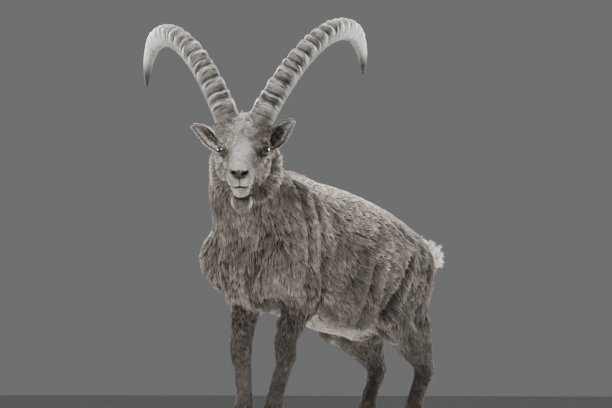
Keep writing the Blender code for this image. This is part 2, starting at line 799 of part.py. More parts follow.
def ear_socket(side):
    """The whole oval that an ear's root fills in the head, and the mouth of its cup."""
    _, aim, opens, across = ear_frame(side)
    rings = []
    for share, wide, _, _ in EAR_OUTLINE[:6]:
        middle = ear_ring_middle(side, share) - aim * (GAP if share < 0 else 0)
        radius = wide + GAP / math.cos(math.pi / LEG_SIDES)
        turns = [2 * math.pi * i / LEG_SIDES for i in range(LEG_SIDES)]
        ways = [across * math.sin(t) - opens * EAR_DEEP * math.cos(t) for t in turns]
        ring = [middle + radius * way * 1.02 for way in ways]
        rings.append(ring)
    return closed_rings("socket", rings, np.mean(rings[0], 0), np.mean(rings[-1], 0))


def closed_rings(name, rings, first, last):
    """A closed form over rings of points, with a point closing each end."""
    count = len(rings[0])
    points = [p for ring in rings for p in ring] + [last, first]
    faces = []
    for row in range(len(rings) - 1):
        for i in range(count):
            j = (i + 1) % count
            low, high = row * count, (row + 1) * count
            faces.append((low + i, low + j, high + j, high + i))
    top = (len(rings) - 1) * count
    for i in range(count):
        j = (i + 1) % count
        faces += [(top + i, top + j, len(points) - 2), (j, i, len(points) - 1)]
    return finished(new_object(name, points, faces))


# Hooves

HOOF_GAP = 0.0012
HOOF_HEEL = 0.55
HEEL_HEIGHT = 0.022
CROWN_RISE = 0.0226
CROWN_REACH = 0.62
# share of the length from heel to toe, share of the full breadth, height of the wall as a share of the
# crown's
HOOF_OUTLINE = (
    (0.0, 0.66, 1.0),
    (0.14, 0.90, 1.0),
    (0.38, 1.0, 1.0),
    (CROWN_REACH, 0.92, 1.0),
    (0.84, 0.66, 0.62),
    (1.0, 0.26, 0.22),
)


def hoof_object(name, hoof, toe):
    """One half of a cloven hoof: a flat sole, a pointed toe and a crown that rises to the front."""
    heel = hoof[1] + HOOF_LENGTH * HOOF_HEEL
    rings = []
    for share, broad, wall in HOOF_OUTLINE:
        y = heel - share * HOOF_LENGTH
        crown = (HEEL_HEIGHT + CROWN_RISE * min(share, CROWN_REACH)) * wall
        sole = HOOF_GAP + HOOF_WIDTH * broad
        top = HOOF_GAP + HOOF_WIDTH * broad * 0.90
        ring = [(HOOF_GAP, y, 0.0), (sole, y, 0.0), (sole, y, 0.3 * crown), (top, y, crown)]
        ring.append((HOOF_GAP, y, crown))
        rings.append([np.array([hoof[0] + toe * px, py, pz]) for px, py, pz in ring])
    return closed_rings(name, rings, np.mean(rings[0], 0), np.mean(rings[-1], 0))


def cut_at_crown(leg, hoof):
    """Ends a leg just above the slope of its hoof's crown."""
    heel = (hoof[0], hoof[1] + HOOF_LENGTH * HOOF_HEEL, HEEL_HEIGHT)
    cut_plane(leg, heel, (0.0, CROWN_RISE / HOOF_LENGTH, 1.0), GAP)


DEWCLAW_SIDES = 8


def dewclaw_object(name, fetlock, toe, grow=0.0):
    """The small blunt claw behind a fetlock, pointing down and back."""
    root = np.array(fetlock) + (toe * 0.0125, 0.018, -0.008)
    way, side = unit((toe * 0.25, 0.55, -0.80)), np.array([1.0, 0.0, 0.0])
    across = unit(side - way * (side @ way))
    deep = np.cross(way, across)
    points = []
    for far, radius in ((-0.006, 0.0070), (0.004, 0.0080), (0.015, 0.0068), (0.022, 0.0034)):
        far = far - grow if far < 0 else far
        for i in range(DEWCLAW_SIDES):
            turn = 2 * math.pi * (i + 0.5) / DEWCLAW_SIDES
            outward = math.cos(turn) * across + math.sin(turn) * deep
            points.append(root + way * far + (radius + grow) * outward)
    n = DEWCLAW_SIDES
    faces = [
        (row * n + i, row * n + (i + 1) % n, row * n + n + (i + 1) % n, row * n + n + i)
        for row in range(3)
        for i in range(n)
    ]
    faces += [tuple(range(n - 1, -1, -1)), tuple(range(3 * n, 4 * n))]
    return finished(new_object(name, points, faces))


# Tail and beard

TAIL_LINE = ((0.0, 0.560, 0.578), (0.0, 0.618, 0.584), (0.0, 0.660, 0.572), (0.0, 0.690, 0.551))
TAIL_RADII = (0.022, 0.020, 0.017, 0.010)
BEARD_LINE = ((0.118, -0.086, 0.0), (0.117, -0.104, 0.0), (0.114, -0.118, 0.0), (0.111, -0.130, 0.0))
BEARD_RADII = (0.020, 0.0230, 0.0190, 0.010)
LOCK_LIFT = 0.30
LOCK_SINK = 0.008
# share of the length, breadth and lift above the coat along a lock
LOCK_SHAPE = ((0.0, 0.80, -1.0), (0.28, 1.0, 0.0), (0.58, 0.88, 0.7), (0.84, 0.50, 1.0))


def lock_object(root, way, out, length, breadth, thick=0.30, curl=0.0):
    """A flat tapered lock from a sunken root, lying along way, its tip bent outwards by curl."""
    way, out = unit(way), np.asarray(out, float)
    out = unit(out - way * (out @ way))
    across = np.cross(way, out)
    rings = []
    for share, wide, rise in LOCK_SHAPE:
        lift = LOCK_SINK * rise if rise < 0 else length * LOCK_LIFT * share * (1 - 0.45 * share)
        middle = root + way * length * (share - 0.12) + out * (lift + curl * length * share**2)
        half = breadth / 2 * wide
        corners = ((1, 0), (0, thick), (-1, 0), (0, -thick))
        rings.append([middle + half * (across * a + out * b) for a, b in corners])
    tip = root + way * length + out * length * (LOCK_LIFT * 0.50 + curl)
    return closed_rings("lock", rings, np.mean(rings[0], 0), tip)


TUBE_SIDES = 12


def tube_object(name, line, radii, grow=0.0, flat=1.0, steps=3):
    """A closed round form along a smooth line, flat times as wide as it is deep."""
    rows = smooth_rows([(*p, r) for p, r in zip(line, radii)], steps)
    line, radii = rows[:, :3], rows[:, 3] + grow
    ahead = np.gradient(line, axis=0)
    ahead /= np.linalg.norm(ahead, axis=1, keepdims=True)
    side = unit(HEAD_LEFT if line[0][2] > 0.65 else (1, 0, 0))
    rings = []
    for spot, way, radius in zip(line, ahead, radii):
        across = unit(side - way * (side @ way))
        deep = np.cross(way, across)
        turns = [2 * math.pi * i / TUBE_SIDES for i in range(TUBE_SIDES)]
        rings.append([spot + radius * (math.cos(t) * across * flat + math.sin(t) * deep) for t in turns])
    first = line[0] - ahead[0] * (radii[0] * 0.3 + grow)
    return closed_rings(name, rings, first, line[-1] + ahead[-1] * radii[-1] * 0.6)


def tail_core(name, grow=0.0):
    return tube_object(name, TAIL_LINE, TAIL_RADII, grow, flat=1.1)


def beard_core(name, grow=0.0):
    return tube_object(name, [head_point(*p) for p in BEARD_LINE], BEARD_RADII, grow, flat=1.2)


# distance along the tail, how many locks, their length and breadth
TAIL_RINGS = ((-0.05, 6, 0.054, 0.036), (0.40, 6, 0.056, 0.034), (0.80, 5, 0.046, 0.028))
# height on the chin, distance from its middle, how many locks, their length
BEARD_RINGS = ((-0.108, 0.0215, 10, 0.045), (-0.119, 0.0120, 6, 0.045))


def grown_copy(obj):
    """A copy of a closed form, larger by the gap all round."""
    copy = obj.copy()
    copy.data = obj.data.copy()
    bpy.context.scene.collection.objects.link(copy)
    for vert, normal in zip(copy.data.vertices, [n.vector.copy() for n in obj.data.vertex_normals]):
        vert.co += normal * GAP
    return copy


def trimmed(locks, body):
    """Locks without what reaches into the body that they lie against."""
    kept = []
    for lock in locks:
        boolean(lock, body, "DIFFERENCE")
        if len(lock.data.vertices):
            keep_largest(lock)
            kept.append(lock)
        else:
            bpy.data.objects.remove(lock)
    return kept


def tail_object(name, body):
    """A short tail whose locks fan out behind, the upper ones curling up, lying clear of the body."""
    made, line = tail_core(name), np.array(TAIL_LINE)
    locks = []
    for row, (share, count, length, breadth) in enumerate(TAIL_RINGS):
        for i in range(count):
            turn = 2 * math.pi * (i + 0.5 * (row % 2)) / count
            out = unit((math.sin(turn), 0.25 * math.cos(turn), math.cos(turn)))
            spot = line[1] + (line[3] - line[1]) * share + out * (0.017 - 0.008 * share)
            upper = max(0.0, math.cos(turn))
            way = unit((0.26 * math.sin(turn), 0.86, -0.66 + 0.72 * upper))
            locks.append(lock_object(spot, way, out, length + 0.014 * upper, breadth, 0.34, 0.26 * upper))
    return fused(made, trimmed(locks, body))


def beard_object(name, body):
    """A short full beard of locks under the chin, lying clear of the head."""
    made = beard_core(name)
    locks = []
    for height, radius, count, length in BEARD_RINGS:
        for i in range(count):
            turn = 2 * math.pi * (i + 0.5) / count
            out = np.array([0.85 * math.cos(turn), -0.10, 1.15 * math.sin(turn)]) @ HEAD_AXES
            spot = head_point(0.114, height, 0.0) + out * radius
            way = np.array([-0.12 + 0.10 * math.cos(turn), -1.0, 0.10 * math.sin(turn)]) @ HEAD_AXES
            grown = length * (1 + 0.10 * math.sin(5 * i))
            locks.append(lock_object(spot, way, out, grown, 0.027, 0.36))
    return fused(made, trimmed(locks, body))


# Materials

COLOURS = {
    "coat": ((0.235, 0.205, 0.175), 0.85),
    "coat_dark": ((0.120, 0.100, 0.085), 0.85),
    "horn": ((0.300, 0.270, 0.230), 0.55),
    "hoof": ((0.045, 0.040, 0.036), 0.45),
    "eye": ((0.100, 0.060, 0.020), 0.08),
}


def material(name):
    found = bpy.data.materials.get(name)
    if found:
        return found
    made = bpy.data.materials.new(name)
    made.use_nodes = True
    shader = made.node_tree.nodes["Principled BSDF"]
    colour, rough = COLOURS[name]
    shader.inputs["Base Color"].default_value = (*colour, 1)
    shader.inputs["Roughness"].default_value = rough
    shader.inputs["Metallic"].default_value = 0.0
    return made


def dress(obj, slot, smooth=True):
    obj.data.materials.clear()
    obj.data.materials.append(material(slot))
    if smooth:
        obj.data.shade_smooth()
    return obj


SLOTS = {"horn": "horn", "hoof": "hoof", "dewclaw": "hoof", "eye": "eye", "beard": "coat_dark"}

# The nodes

HEAD_PLANE = (-0.066, -0.104, 0.0)
HEAD_PLANE_LOOKS = (0.55, 0.83, 0.0)
NECK_PLANE = np.array([0.0, -0.070, 0.790])
NECK_PLANE_LOOKS = np.array([0.04, -0.67, 0.74])
LEG_SIDES = 20
# height, then middle y, half breadth and half depth of the bottom and top of the space that holds a leg
FRONT_SPACE = ((-0.05, -0.125, 0.075, 0.140), (0.400, -0.070, 0.078, 0.105))
HIND_SPACE = ((-0.05, 0.490, 0.075, 0.130), (0.395, 0.430, 0.076, 0.165))


def leg_space(name, grow):
    """A closed oval funnel that holds one leg, for parting it from the body."""
    leg, front = LEGS[name], name.startswith("front")
    low, high = FRONT_SPACE if front else HIND_SPACE
    middles = (leg["hoof"][0], leg["elbow" if front else "stifle"][0])
    points = []
    for (height, y, broad, deep), x, lift in zip((low, high), middles, (-grow, grow)):
        for i in range(LEG_SIDES):
            turn = 2 * math.pi * i / LEG_SIDES
            aside, ahead = (broad + grow) * math.cos(turn), (deep + grow) * math.sin(turn)
            points.append((x + aside, y + ahead, height + lift))
    n = LEG_SIDES
    faces = [tuple(range(n - 1, -1, -1)), tuple(range(n, 2 * n))]
    for i in range(n):
        j = (i + 1) % n
        faces += [(i, j, n + j), (i, n + j, n + i)]
    return finished(new_object("space", points, faces))


def make_flesh(field):
    """The head, neck, torso and legs, parted with thin cuts."""
    nodes = {}
    head_normal = np.array(HEAD_PLANE_LOOKS) @ HEAD_AXES
    head_spot = head_point(*HEAD_PLANE)
    head = meshed("head", field, HEAD_AT - 0.20, HEAD_AT + 0.20, 0.0033, 3500)
    cut_plane(head, head_spot, head_normal)
    nodes["head"] = head
    body_low, body_high = np.array([-0.26, -0.46, 0.24]), np.array([0.30, 0.72, 0.98])
    body = meshed("torso", field, body_low, body_high, 0.012, 3000)
    cut_plane(body, head_spot, -head_normal)
    neck = body.copy()
    neck.data = body.data.copy()
    neck.name = "neck"
    bpy.context.scene.collection.objects.link(neck)
    cut_plane(body, NECK_PLANE, -NECK_PLANE_LOOKS)
    cut_plane(neck, NECK_PLANE, NECK_PLANE_LOOKS)
    nodes["torso"], nodes["neck"] = body, neck
    for name in LEGS:
        space = leg_space(name, -GAP / 2)
        spots = np.array([v.co for v in space.data.vertices])
        low, high = spots.min(0) - 0.02, spots.max(0) + 0.02
        low[2] = 0.0
        leg = meshed("leg_" + name, field, low, high, 0.0062, 640)
        boolean(leg, space, "INTERSECT")
        bpy.data.objects.remove(space)
        keep_largest(leg)
        space = leg_space(name, GAP / 2)
        boolean(body, space, "DIFFERENCE")
        bpy.data.objects.remove(space)
        nodes["leg_" + name] = leg
    keep_largest(body)
    keep_largest(neck)
    return nodes


def main():
    for obj in list(bpy.data.objects):
        bpy.data.objects.remove(obj)
    field = flesh()
    nodes = make_flesh(field)
    head = nodes["head"]
    for side, sign in SIDES.items():
        socket = horn_object("socket", side, GAP)
        boolean(head, socket, "DIFFERENCE")
        bpy.data.objects.remove(socket)
        nodes["horn_" + side] = horn_object("horn_" + side, side)
        socket = ear_socket(side)
        boolean(head, socket, "DIFFERENCE")
        bpy.data.objects.remove(socket)
        nodes["ear_" + side] = ear_object("ear_" + side, side)
        eye = head_point(EYE[0], EYE[1], sign * EYE[2])
        socket = ball_object("socket", eye, EYE_RADIUS + GAP)
        boolean(head, socket, "DIFFERENCE")
        bpy.data.objects.remove(socket)
        nodes["eye_" + side] = ball_object("eye_" + side, eye, EYE_RADIUS)
    keep_largest(head)
    for name, core, make, owner in (
        ("beard", beard_core, beard_object, head),
        ("tail", tail_core, tail_object, nodes["torso"]),
    ):
        around = grown_copy(owner)
        socket = core("socket", GAP)
        boolean(owner, socket, "DIFFERENCE")
        bpy.data.objects.remove(socket)
        keep_largest(owner)
        nodes[name] = make(name, around)
        bpy.data.objects.remove(around)
    for name, leg in LEGS.items():
        for toe, label in ((1.0, "outer"), (-1.0, "inner")):
            side = toe * np.sign(leg["hoof"][0])
            nodes[f"hoof_{name}_{label}"] = hoof_object(f"hoof_{name}_{label}", leg["hoof"], side)
            claw = f"dewclaw_{name}_{label}"
            socket = dewclaw_object("socket", leg["fetlock"], side, GAP)
            boolean(nodes["leg_" + name], socket, "DIFFERENCE")
            bpy.data.objects.remove(socket)
            nodes[claw] = dewclaw_object(claw, leg["fetlock"], side)
        cut_at_crown(nodes["leg_" + name], leg["hoof"])
        keep_largest(nodes["leg_" + name])
    for name, node in nodes.items():
        slot = SLOTS.get(name.split("_")[0], "coat")
        dress(node, slot)
    # The origin is on the floor, under the middle of the box round the whole animal
    spots = np.array([v.co for node in nodes.values() for v in node.data.vertices])
    middle = (spots.min(0) + spots.max(0)) / 2
    for node in nodes.values():
        node.data.transform(Matrix.Translation((-middle[0], -middle[1], 0.0)))


main()
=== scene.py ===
"""Looks of a still, life-size alpine ibex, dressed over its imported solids."""

import logging
import math
from dataclasses import dataclass, field
from enum import Enum

import bmesh
import bpy
import numpy as np
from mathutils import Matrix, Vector, kdtree
from mathutils.bvhtree import BVHTree


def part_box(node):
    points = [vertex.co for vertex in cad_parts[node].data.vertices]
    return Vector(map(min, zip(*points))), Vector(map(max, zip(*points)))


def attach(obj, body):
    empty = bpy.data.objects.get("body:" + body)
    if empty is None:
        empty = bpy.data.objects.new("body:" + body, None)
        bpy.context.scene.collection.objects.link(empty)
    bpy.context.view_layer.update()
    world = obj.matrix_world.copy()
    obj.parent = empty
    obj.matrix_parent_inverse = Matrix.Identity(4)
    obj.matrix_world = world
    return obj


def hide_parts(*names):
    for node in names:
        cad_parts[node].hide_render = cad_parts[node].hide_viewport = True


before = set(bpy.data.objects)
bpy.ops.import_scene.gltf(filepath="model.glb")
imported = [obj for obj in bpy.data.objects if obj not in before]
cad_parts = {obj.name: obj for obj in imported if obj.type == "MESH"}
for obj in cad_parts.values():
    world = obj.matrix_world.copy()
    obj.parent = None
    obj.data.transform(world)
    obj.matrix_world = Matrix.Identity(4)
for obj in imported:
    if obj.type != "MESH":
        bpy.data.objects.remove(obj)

LOG = logging.getLogger("ibex")
Array = np.ndarray
BODY = "root"
SIDES = {"left": 1.0, "right": -1.0}
LEG_NAMES = ("front_left", "front_right", "hind_left", "hind_right")
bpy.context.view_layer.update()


def unit(vector) -> Array:
    """A direction of length one."""
    vector = np.asarray(vector, float)
    return vector / np.linalg.norm(vector)


def units(vectors: Array) -> Array:
    """Rows made directions of length one."""
    return vectors / np.maximum(np.linalg.norm(vectors, axis=1, keepdims=True), 1e-9)


def ramp(value: Array, low: float, high: float) -> Array:
    """A smooth step from 0 at low to 1 at high."""
    share = np.clip((value - low) / (high - low), 0.0, 1.0)
    return share * share * (3.0 - 2.0 * share)


@dataclass(frozen=True)
class HeadAxes:
    """The head's own axes in the animal's frame, set by a given turn and pitch about a middle found from
    the two eyes.
    """

    turn: float = math.radians(36)
    pitch: float = math.radians(22)
    eye: tuple[float, float, float] = (0.006, 0.0, 0.059)
    skull_in_plan: tuple[float, float, float] = (0.130, -0.360, 0.831)

    @property
    def axes(self) -> Array:
        """Rows: forward, up and left."""
        forward = np.array([
            math.cos(self.pitch) * math.sin(self.turn),
            -math.cos(self.pitch) * math.cos(self.turn),
            -math.sin(self.pitch),
        ])
        left = np.array([math.cos(self.turn), math.sin(self.turn), 0.0])
        return np.array([forward, np.cross(forward, left), left])

    @property
    def centre(self) -> Array:
        """The middle of the skull, between and just behind the eyes."""
        boxes = (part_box("eye_left"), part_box("eye_right"))
        middles = [(np.array(low) + np.array(high)) / 2 for low, high in boxes]
        return (middles[0] + middles[1]) / 2 - self.axes[0] * self.eye[0]

    @property
    def shift(self) -> Array:
        """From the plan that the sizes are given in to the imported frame."""
        return self.centre - np.array(self.skull_in_plan)

    def point(self, forward: float, up: float, left: float) -> Array:
        """A place given along the head's own axes."""
        return self.centre + np.array([forward, up, left]) @ self.axes

    def eye_at(self, sign: float) -> Array:
        """The middle of the eye on one side, 1 for the left and -1 for the right."""
        return self.point(self.eye[0], self.eye[1], sign * self.eye[2])

    def toward(self, way: tuple, sign: float) -> Array:
        """A direction along the head's own axes, mirrored for the right side."""
        return unit(np.array([way[0], way[1], sign * way[2]]) @ self.axes)

    def local(self, points: Array) -> Array:
        """Places in the head's own axes.

        Args:
            points: rows of x, y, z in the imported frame.

        Returns:
            Rows of forward, up and left.
        """
        return (points - self.centre) @ self.axes.T


HEAD = HeadAxes()
SHIFT = HEAD.shift


def place(plan) -> Array:
    """A place of the plan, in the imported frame."""
    return np.asarray(plan, float) + SHIFT


def faded(colour: Array, tone: Array) -> Array:
    """Hair colour at a tone: pale hair loses most of its brown.

    Args:
        colour: the coat's middle colour.
        tone: how many times as bright each hair is.

    Returns:
        Rows of red, green and blue.
    """
    lit = colour * tone[:, None]
    pale = 0.75 * ramp(tone, 1.3, 2.4)[:, None]
    grey = lit.mean(1, keepdims=True) * np.array([1.03, 1.0, 0.95])
    return np.clip(lit * (1 - pale) + grey * pale, 0.008, 0.74)


def blot(local: Array, middle: tuple, size: tuple) -> Array:
    """A soft patch of the head: 1 in its middle, fading over a size along each of its axes."""
    return np.exp(-(((local - middle) / size) ** 2).sum(1))


def swell(far: Array, middle: float, width: float) -> Array:
    """A soft band: 1 at the middle distance, fading over the width."""
    return np.exp(-(((far - middle) / width) ** 2))


class Ripple:
    """A smooth, seeded noise made of a few waves in random directions."""

    def __init__(self, seed: int, size: float, waves: int = 14) -> None:
        """Draws the waves.

        Args:
            seed: the draw's number.
            size: rough width of one blotch in metres.
            waves: how many waves are added.
        """
        rng = np.random.default_rng(seed)
        ways = units(rng.normal(size=(waves, 3))) * (math.pi / size)
        self.ways = ways * rng.uniform(0.6, 1.5, (waves, 1))
        self.starts = rng.uniform(0, 2 * math.pi, waves)

    def __call__(self, points: Array) -> Array:
        """Values of about -1 to 1 at rows of x, y, z."""
        return np.sin(points @ self.ways.T + self.starts).sum(1) / math.sqrt(len(self.starts) / 2) * 0.7


# Shader maths


class Sock:
    """A node's output socket that adds Math nodes when it is calculated with."""

    def __init__(self, sheet: "Sheet", socket: bpy.types.NodeSocket) -> None:
        """Wraps one socket of a material's sheet of nodes."""
        self.sheet, self.socket = sheet, socket

    def _math(self, operation: str, *values: object) -> "Sock":
        """One Math node over this and other values."""
        return self.sheet.node("ShaderNodeMath", {"operation": operation}, dict(enumerate(values)))

    def __add__(self, other: object) -> "Sock":
        """Sum."""
        return self._math("ADD", self, other)

    def __sub__(self, other: object) -> "Sock":
        """Difference."""
        return self._math("SUBTRACT", self, other)

    def __rsub__(self, other: object) -> "Sock":
        """Difference from a number."""
        return self._math("SUBTRACT", other, self)

    def __mul__(self, other: object) -> "Sock":
        """Product."""
        return self._math("MULTIPLY", self, other)

    def __pow__(self, other: object) -> "Sock":
        """Power."""
        return self._math("POWER", self, other)

    __radd__ = __add__
    __rmul__ = __mul__

    def absolute(self) -> "Sock":
        """Without its sign."""
        return self._math("ABSOLUTE", self)

    def within(self, low: float, high: float, start: float = 0.0, end: float = 1.0) -> "Sock":
        """Mapped smoothly from low..high to start..end."""
        return self.sheet.node(
            "ShaderNodeMapRange", {"interpolation_type": "SMOOTHSTEP"},
            {0: self, 1: low, 2: high, 3: start, 4: end},
        )


class Sheet:
    """One material's nodes."""

    def __init__(self, name: str, roughness: float, **fixed: float) -> None:
        """Starts a material.

        Args:
            name: the material's name.
            roughness: the shader's roughness where nothing drives it.
            fixed: other sockets of the shader that are the same all over.
        """
        self.material = bpy.data.materials.new(name)
        self.material.use_nodes = True
        self.tree = self.material.node_tree
        self.shader = next(n for n in self.tree.nodes if n.type == "BSDF_PRINCIPLED")
        self.shader.inputs["Roughness"].default_value = roughness
        for socket, value in fixed.items():
            self.shader.inputs[socket.replace("_", " ")].default_value = value

    def node(self, kind: str, settings: dict, sockets: dict, output: object = 0) -> Sock:
        """Adds a node.

        Args:
            kind: the node's type.
            settings: its own settings, made first.
            sockets: values or links by the input's name or number.
            output: which output is wanted.

        Returns:
            The wrapped output.
        """
        made = self.tree.nodes.new(kind)
        for key, value in settings.items():
            setattr(made, key, value)
        for key, value in sockets.items():
            if isinstance(value, Sock):
                self.tree.links.new(value.socket, made.inputs[key])
            else:
                made.inputs[key].default_value = value
        return Sock(self, made.outputs[output])

    def mix(self, share: object, first: object, second: object, way: str = "MIX") -> Sock:
        """A blend of two colours."""
        pair = [(*c, 1.0) if isinstance(c, tuple) else c for c in (first, second)]
        return self.node(
            "ShaderNodeMix", {"data_type": "RGBA", "blend_type": way, "clamp_factor": True},
            {0: share, 6: pair[0], 7: pair[1]}, 2,
        )

    def tint(self, colour: object, strength: Sock) -> Sock:
        """A colour times a grey strength."""
        grey = self.node("ShaderNodeCombineColor", {}, {0: strength, 1: strength, 2: strength})
        return self.mix(1.0, colour, grey, "MULTIPLY")

    def attribute(self, name: str, output: str = "Fac") -> Sock:
        """A value kept on the mesh's points."""
        return self.node("ShaderNodeAttribute", {"attribute_name": name}, {}, output)

    def noise(
        self, scale: float, detail: float = 4.0, stretch: tuple = (1, 1, 1), vector: Sock = None,
    ) -> Sock:
        """Noise of that scale on the object's own coordinates, or on another vector."""
        vector = vector or self.node("ShaderNodeTexCoord", {}, {}, "Object")
        moved = self.node("ShaderNodeMapping", {}, {"Vector": vector, "Scale": stretch})
        return self.node("ShaderNodeTexNoise", {}, {"Vector": moved, "Scale": scale, "Detail": detail})

    def uv(self, name: str) -> Sock:
        """A UV map."""
        return self.node("ShaderNodeUVMap", {"uv_map": name}, {})

    def drive(self, socket: str, value: Sock) -> None:
        """Feeds one of the shader's sockets."""
        self.tree.links.new(value.socket, self.shader.inputs[socket])

    def bump(self, height: Sock, strength: float, distance: float) -> None:
        """Gives the surface a relief."""
        self.drive("Normal", self.node(
            "ShaderNodeBump", {}, {"Strength": strength, "Distance": distance, "Height": height}))


@dataclass(frozen=True)
class CoatFinish:
    """Hair: the marking's colour, with painted shade at the roots and a painted highlight at the tips, with
    fine strands along each tuft.
    """

    roughness: float = 0.78
    name: str = "coat_hair"

    def material(self) -> bpy.types.Material:
        """Makes the material of the tufts."""
        sheet = Sheet(self.name, self.roughness)
        sheet.shader.inputs["Specular IOR Level"].default_value = 0.22
        strands = sheet.noise(9.0, 2.0, (1.0, 0.16, 1.0), sheet.uv("Lay"))
        strength = strands.within(0.25, 0.75, 0.70, 1.26)
        sheet.drive("Base Color", sheet.tint(sheet.attribute("marking", "Color"), strength))
        return sheet.material


@dataclass(frozen=True)
class SkinFinish:
    """The hide under the coat, and the short flat hair of the face as fine relief."""

    roughness: float = 0.74
    name: str = "hide"

    def material(self) -> bpy.types.Material:
        """Makes the material of the skin."""
        sheet = Sheet(self.name, self.roughness)
        sheet.shader.inputs["Specular IOR Level"].default_value = 0.25
        fine = sheet.noise(900.0, 3.0)
        hair = fine.within(0.3, 0.7, 0.62, 1.20)
        sheet.drive("Base Color", sheet.tint(sheet.attribute("marking", "Color"), hair))
        wet = sheet.attribute("wet")
        sheet.drive("Roughness", self.roughness - wet * 0.34)
        sheet.bump(fine + sheet.noise(240.0, 2.0) * 0.6, 0.35, 0.0012)
        return sheet.material


@dataclass(frozen=True)
class HornFinish:
    """Horn: pale grey-brown, with painted shade in the grooves and on the underside of its arch, streaked
    along its length, darker to the tip.
    """

    pale: tuple[float, float, float] = (0.215, 0.197, 0.172)
    worn: tuple[float, float, float] = (0.105, 0.094, 0.080)
    dark: tuple[float, float, float] = (0.016, 0.014, 0.012)
    tip: tuple[float, float, float] = (0.030, 0.026, 0.022)
    crest: tuple[float, float, float] = (0.500, 0.470, 0.425)
    bleached: tuple[float, float, float] = (0.720, 0.690, 0.640)

    def material(self) -> bpy.types.Material:
        """Makes the material of the horns."""
        sheet = Sheet("horn_sheath", 0.55)
        lay = sheet.uv("HornLay")
        streaks = sheet.noise(70.0, 4.0, (6.0, 0.7, 1.0), lay)
        growth = sheet.noise(26.0, 5.0, (0.5, 4.6, 1.0), lay)
        blotch = sheet.noise(22.0, 3.0)
        groove = sheet.attribute("groove")
        upper = sheet.attribute("upper")
        base = sheet.mix(blotch.within(0.35, 0.70), self.pale, self.worn)
        base = sheet.mix(upper * 0.80, base, self.bleached)
        base = sheet.mix(streaks.within(0.50, 0.72) * (0.55 - upper * 0.20), base, self.dark)
        base = sheet.mix(growth.within(0.52, 0.64) * (0.80 - upper * 0.45), base, self.dark)
        base = sheet.mix(sheet.attribute("crest") * growth.within(0.60, 0.42) * 0.90, base, self.crest)
        # Painted shade: nearly black in the grooves, and dark on the back of the horn where it turns under
        # the arch.
        base = sheet.mix(groove * 0.95, base, self.dark)
        base = sheet.mix(sheet.attribute("under") * 0.72, base, self.dark)
        base = sheet.mix(sheet.attribute("point"), base, self.tip)
        sheet.drive("Base Color", base)
        sheet.drive("Roughness", 0.66 - sheet.attribute("crest") * 0.16 + sheet.attribute("point") * 0.25)
        sheet.bump(streaks * 0.6 + growth * 1.4, 0.75, 0.0030)
        return sheet.material


@dataclass(frozen=True)
class HoofFinish:
    """Hoof horn: dark, ringed across and finely streaked downwards."""

    dark: tuple[float, float, float] = (0.040, 0.034, 0.029)
    worn: tuple[float, float, float] = (0.150, 0.130, 0.108)

    def material(self) -> bpy.types.Material:
        """Makes the material of hooves and dewclaws."""
        sheet = Sheet("hoof_horn", 0.5)
        rings = sheet.noise(60.0, 3.0, (0.6, 0.6, 6.0))
        streaks = sheet.noise(90.0, 4.0, (6.0, 6.0, 0.5))
        on_object = sheet.node("ShaderNodeTexCoord", {}, {}, "Object")
        low = sheet.node("ShaderNodeSeparateXYZ", {}, {0: on_object}, 2)
        worn = low.within(0.0, 0.012, 0.75, 0.0) + streaks.within(0.5, 0.75, 0.0, 0.45)
        sheet.drive("Base Color", sheet.mix(worn, self.dark, self.worn))
        sheet.drive("Roughness", 0.42 + rings * 0.3)
        sheet.bump(rings + streaks * 0.5, 0.5, 0.0012)
        return sheet.material


@dataclass(frozen=True)
class EyeFinish:
    """An amber-brown iris with a level slot of a pupil, under a wet cornea."""

    iris: tuple[float, float, float] = (0.036, 0.028, 0.020)
    fibres: tuple[float, float, float] = (0.078, 0.062, 0.045)
    rim: tuple[float, float, float] = (0.014, 0.010, 0.007)
    white: tuple[float, float, float] = (0.050, 0.038, 0.030)
    pupil: tuple[float, float, float] = (0.004, 0.004, 0.005)

    def material(self) -> bpy.types.Material:
        """Makes the material of the eyes."""
        sheet = Sheet("eyeball", 0.12, Coat_Weight=0.10, Coat_Roughness=0.03)
        across, high, far = (sheet.attribute(n) for n in ("eye_across", "eye_up", "eye_far"))
        fibre = sheet.noise(9.0, 4.0, (3.0, 3.0, 0.2), sheet.uv("EyeLay"))
        iris = sheet.mix(fibre.within(0.35, 0.7), self.iris, self.fibres)
        iris = sheet.mix(far.within(0.50, 0.66), iris, self.rim)
        ball = sheet.mix(far.within(0.66, 0.72), iris, self.white)
        squared = (across.absolute() * 1.9) ** 4.0 + (high.absolute() * 4.6) ** 4.0
        slot = squared.within(0.75, 1.15, 1.0, 0.0)
        sheet.drive("Base Color", sheet.mix(slot, ball, self.pupil))
        return sheet.material


@dataclass(frozen=True)
class FloorFinish:
    """A plain pale studio floor."""

    colour: tuple[float, float, float] = (0.60, 0.60, 0.595)
    scuffed: tuple[float, float, float] = (0.57, 0.57, 0.565)

    def material(self) -> bpy.types.Material:
        """Makes the floor's material."""
        sheet = Sheet("studio_floor", 0.85)
        soft = sheet.noise(3.0, 3.0).within(0.3, 0.7)
        sheet.drive("Base Color", sheet.mix(soft, self.scuffed, self.colour))
        return sheet.material


# Mesh helpers


def deselect() -> None:
    """Leaves nothing selected."""
    bpy.ops.object.select_all(action="DESELECT")


def activate(obj: bpy.types.Object) -> None:
    """Selects one object alone and makes it the active one."""
    deselect()
    obj.select_set(True)
    bpy.context.view_layer.objects.active = obj


def positions(obj: bpy.types.Object) -> Array:
    """Rows of the mesh's points."""
    flat = np.zeros(len(obj.data.vertices) * 3)
    obj.data.vertices.foreach_get("co", flat)
    return flat.reshape(-1, 3)


def move_points(obj: bpy.types.Object, points: Array) -> None:
    """Writes the mesh's points."""
    obj.data.vertices.foreach_set("co", np.ascontiguousarray(points, float).ravel())
    obj.data.update()


def normals(obj: bpy.types.Object) -> Array:
    """Rows of the mesh's point normals."""
    flat = np.zeros(len(obj.data.vertices) * 3)
    obj.data.vertex_normals.foreach_get("vector", flat)
    return flat.reshape(-1, 3)


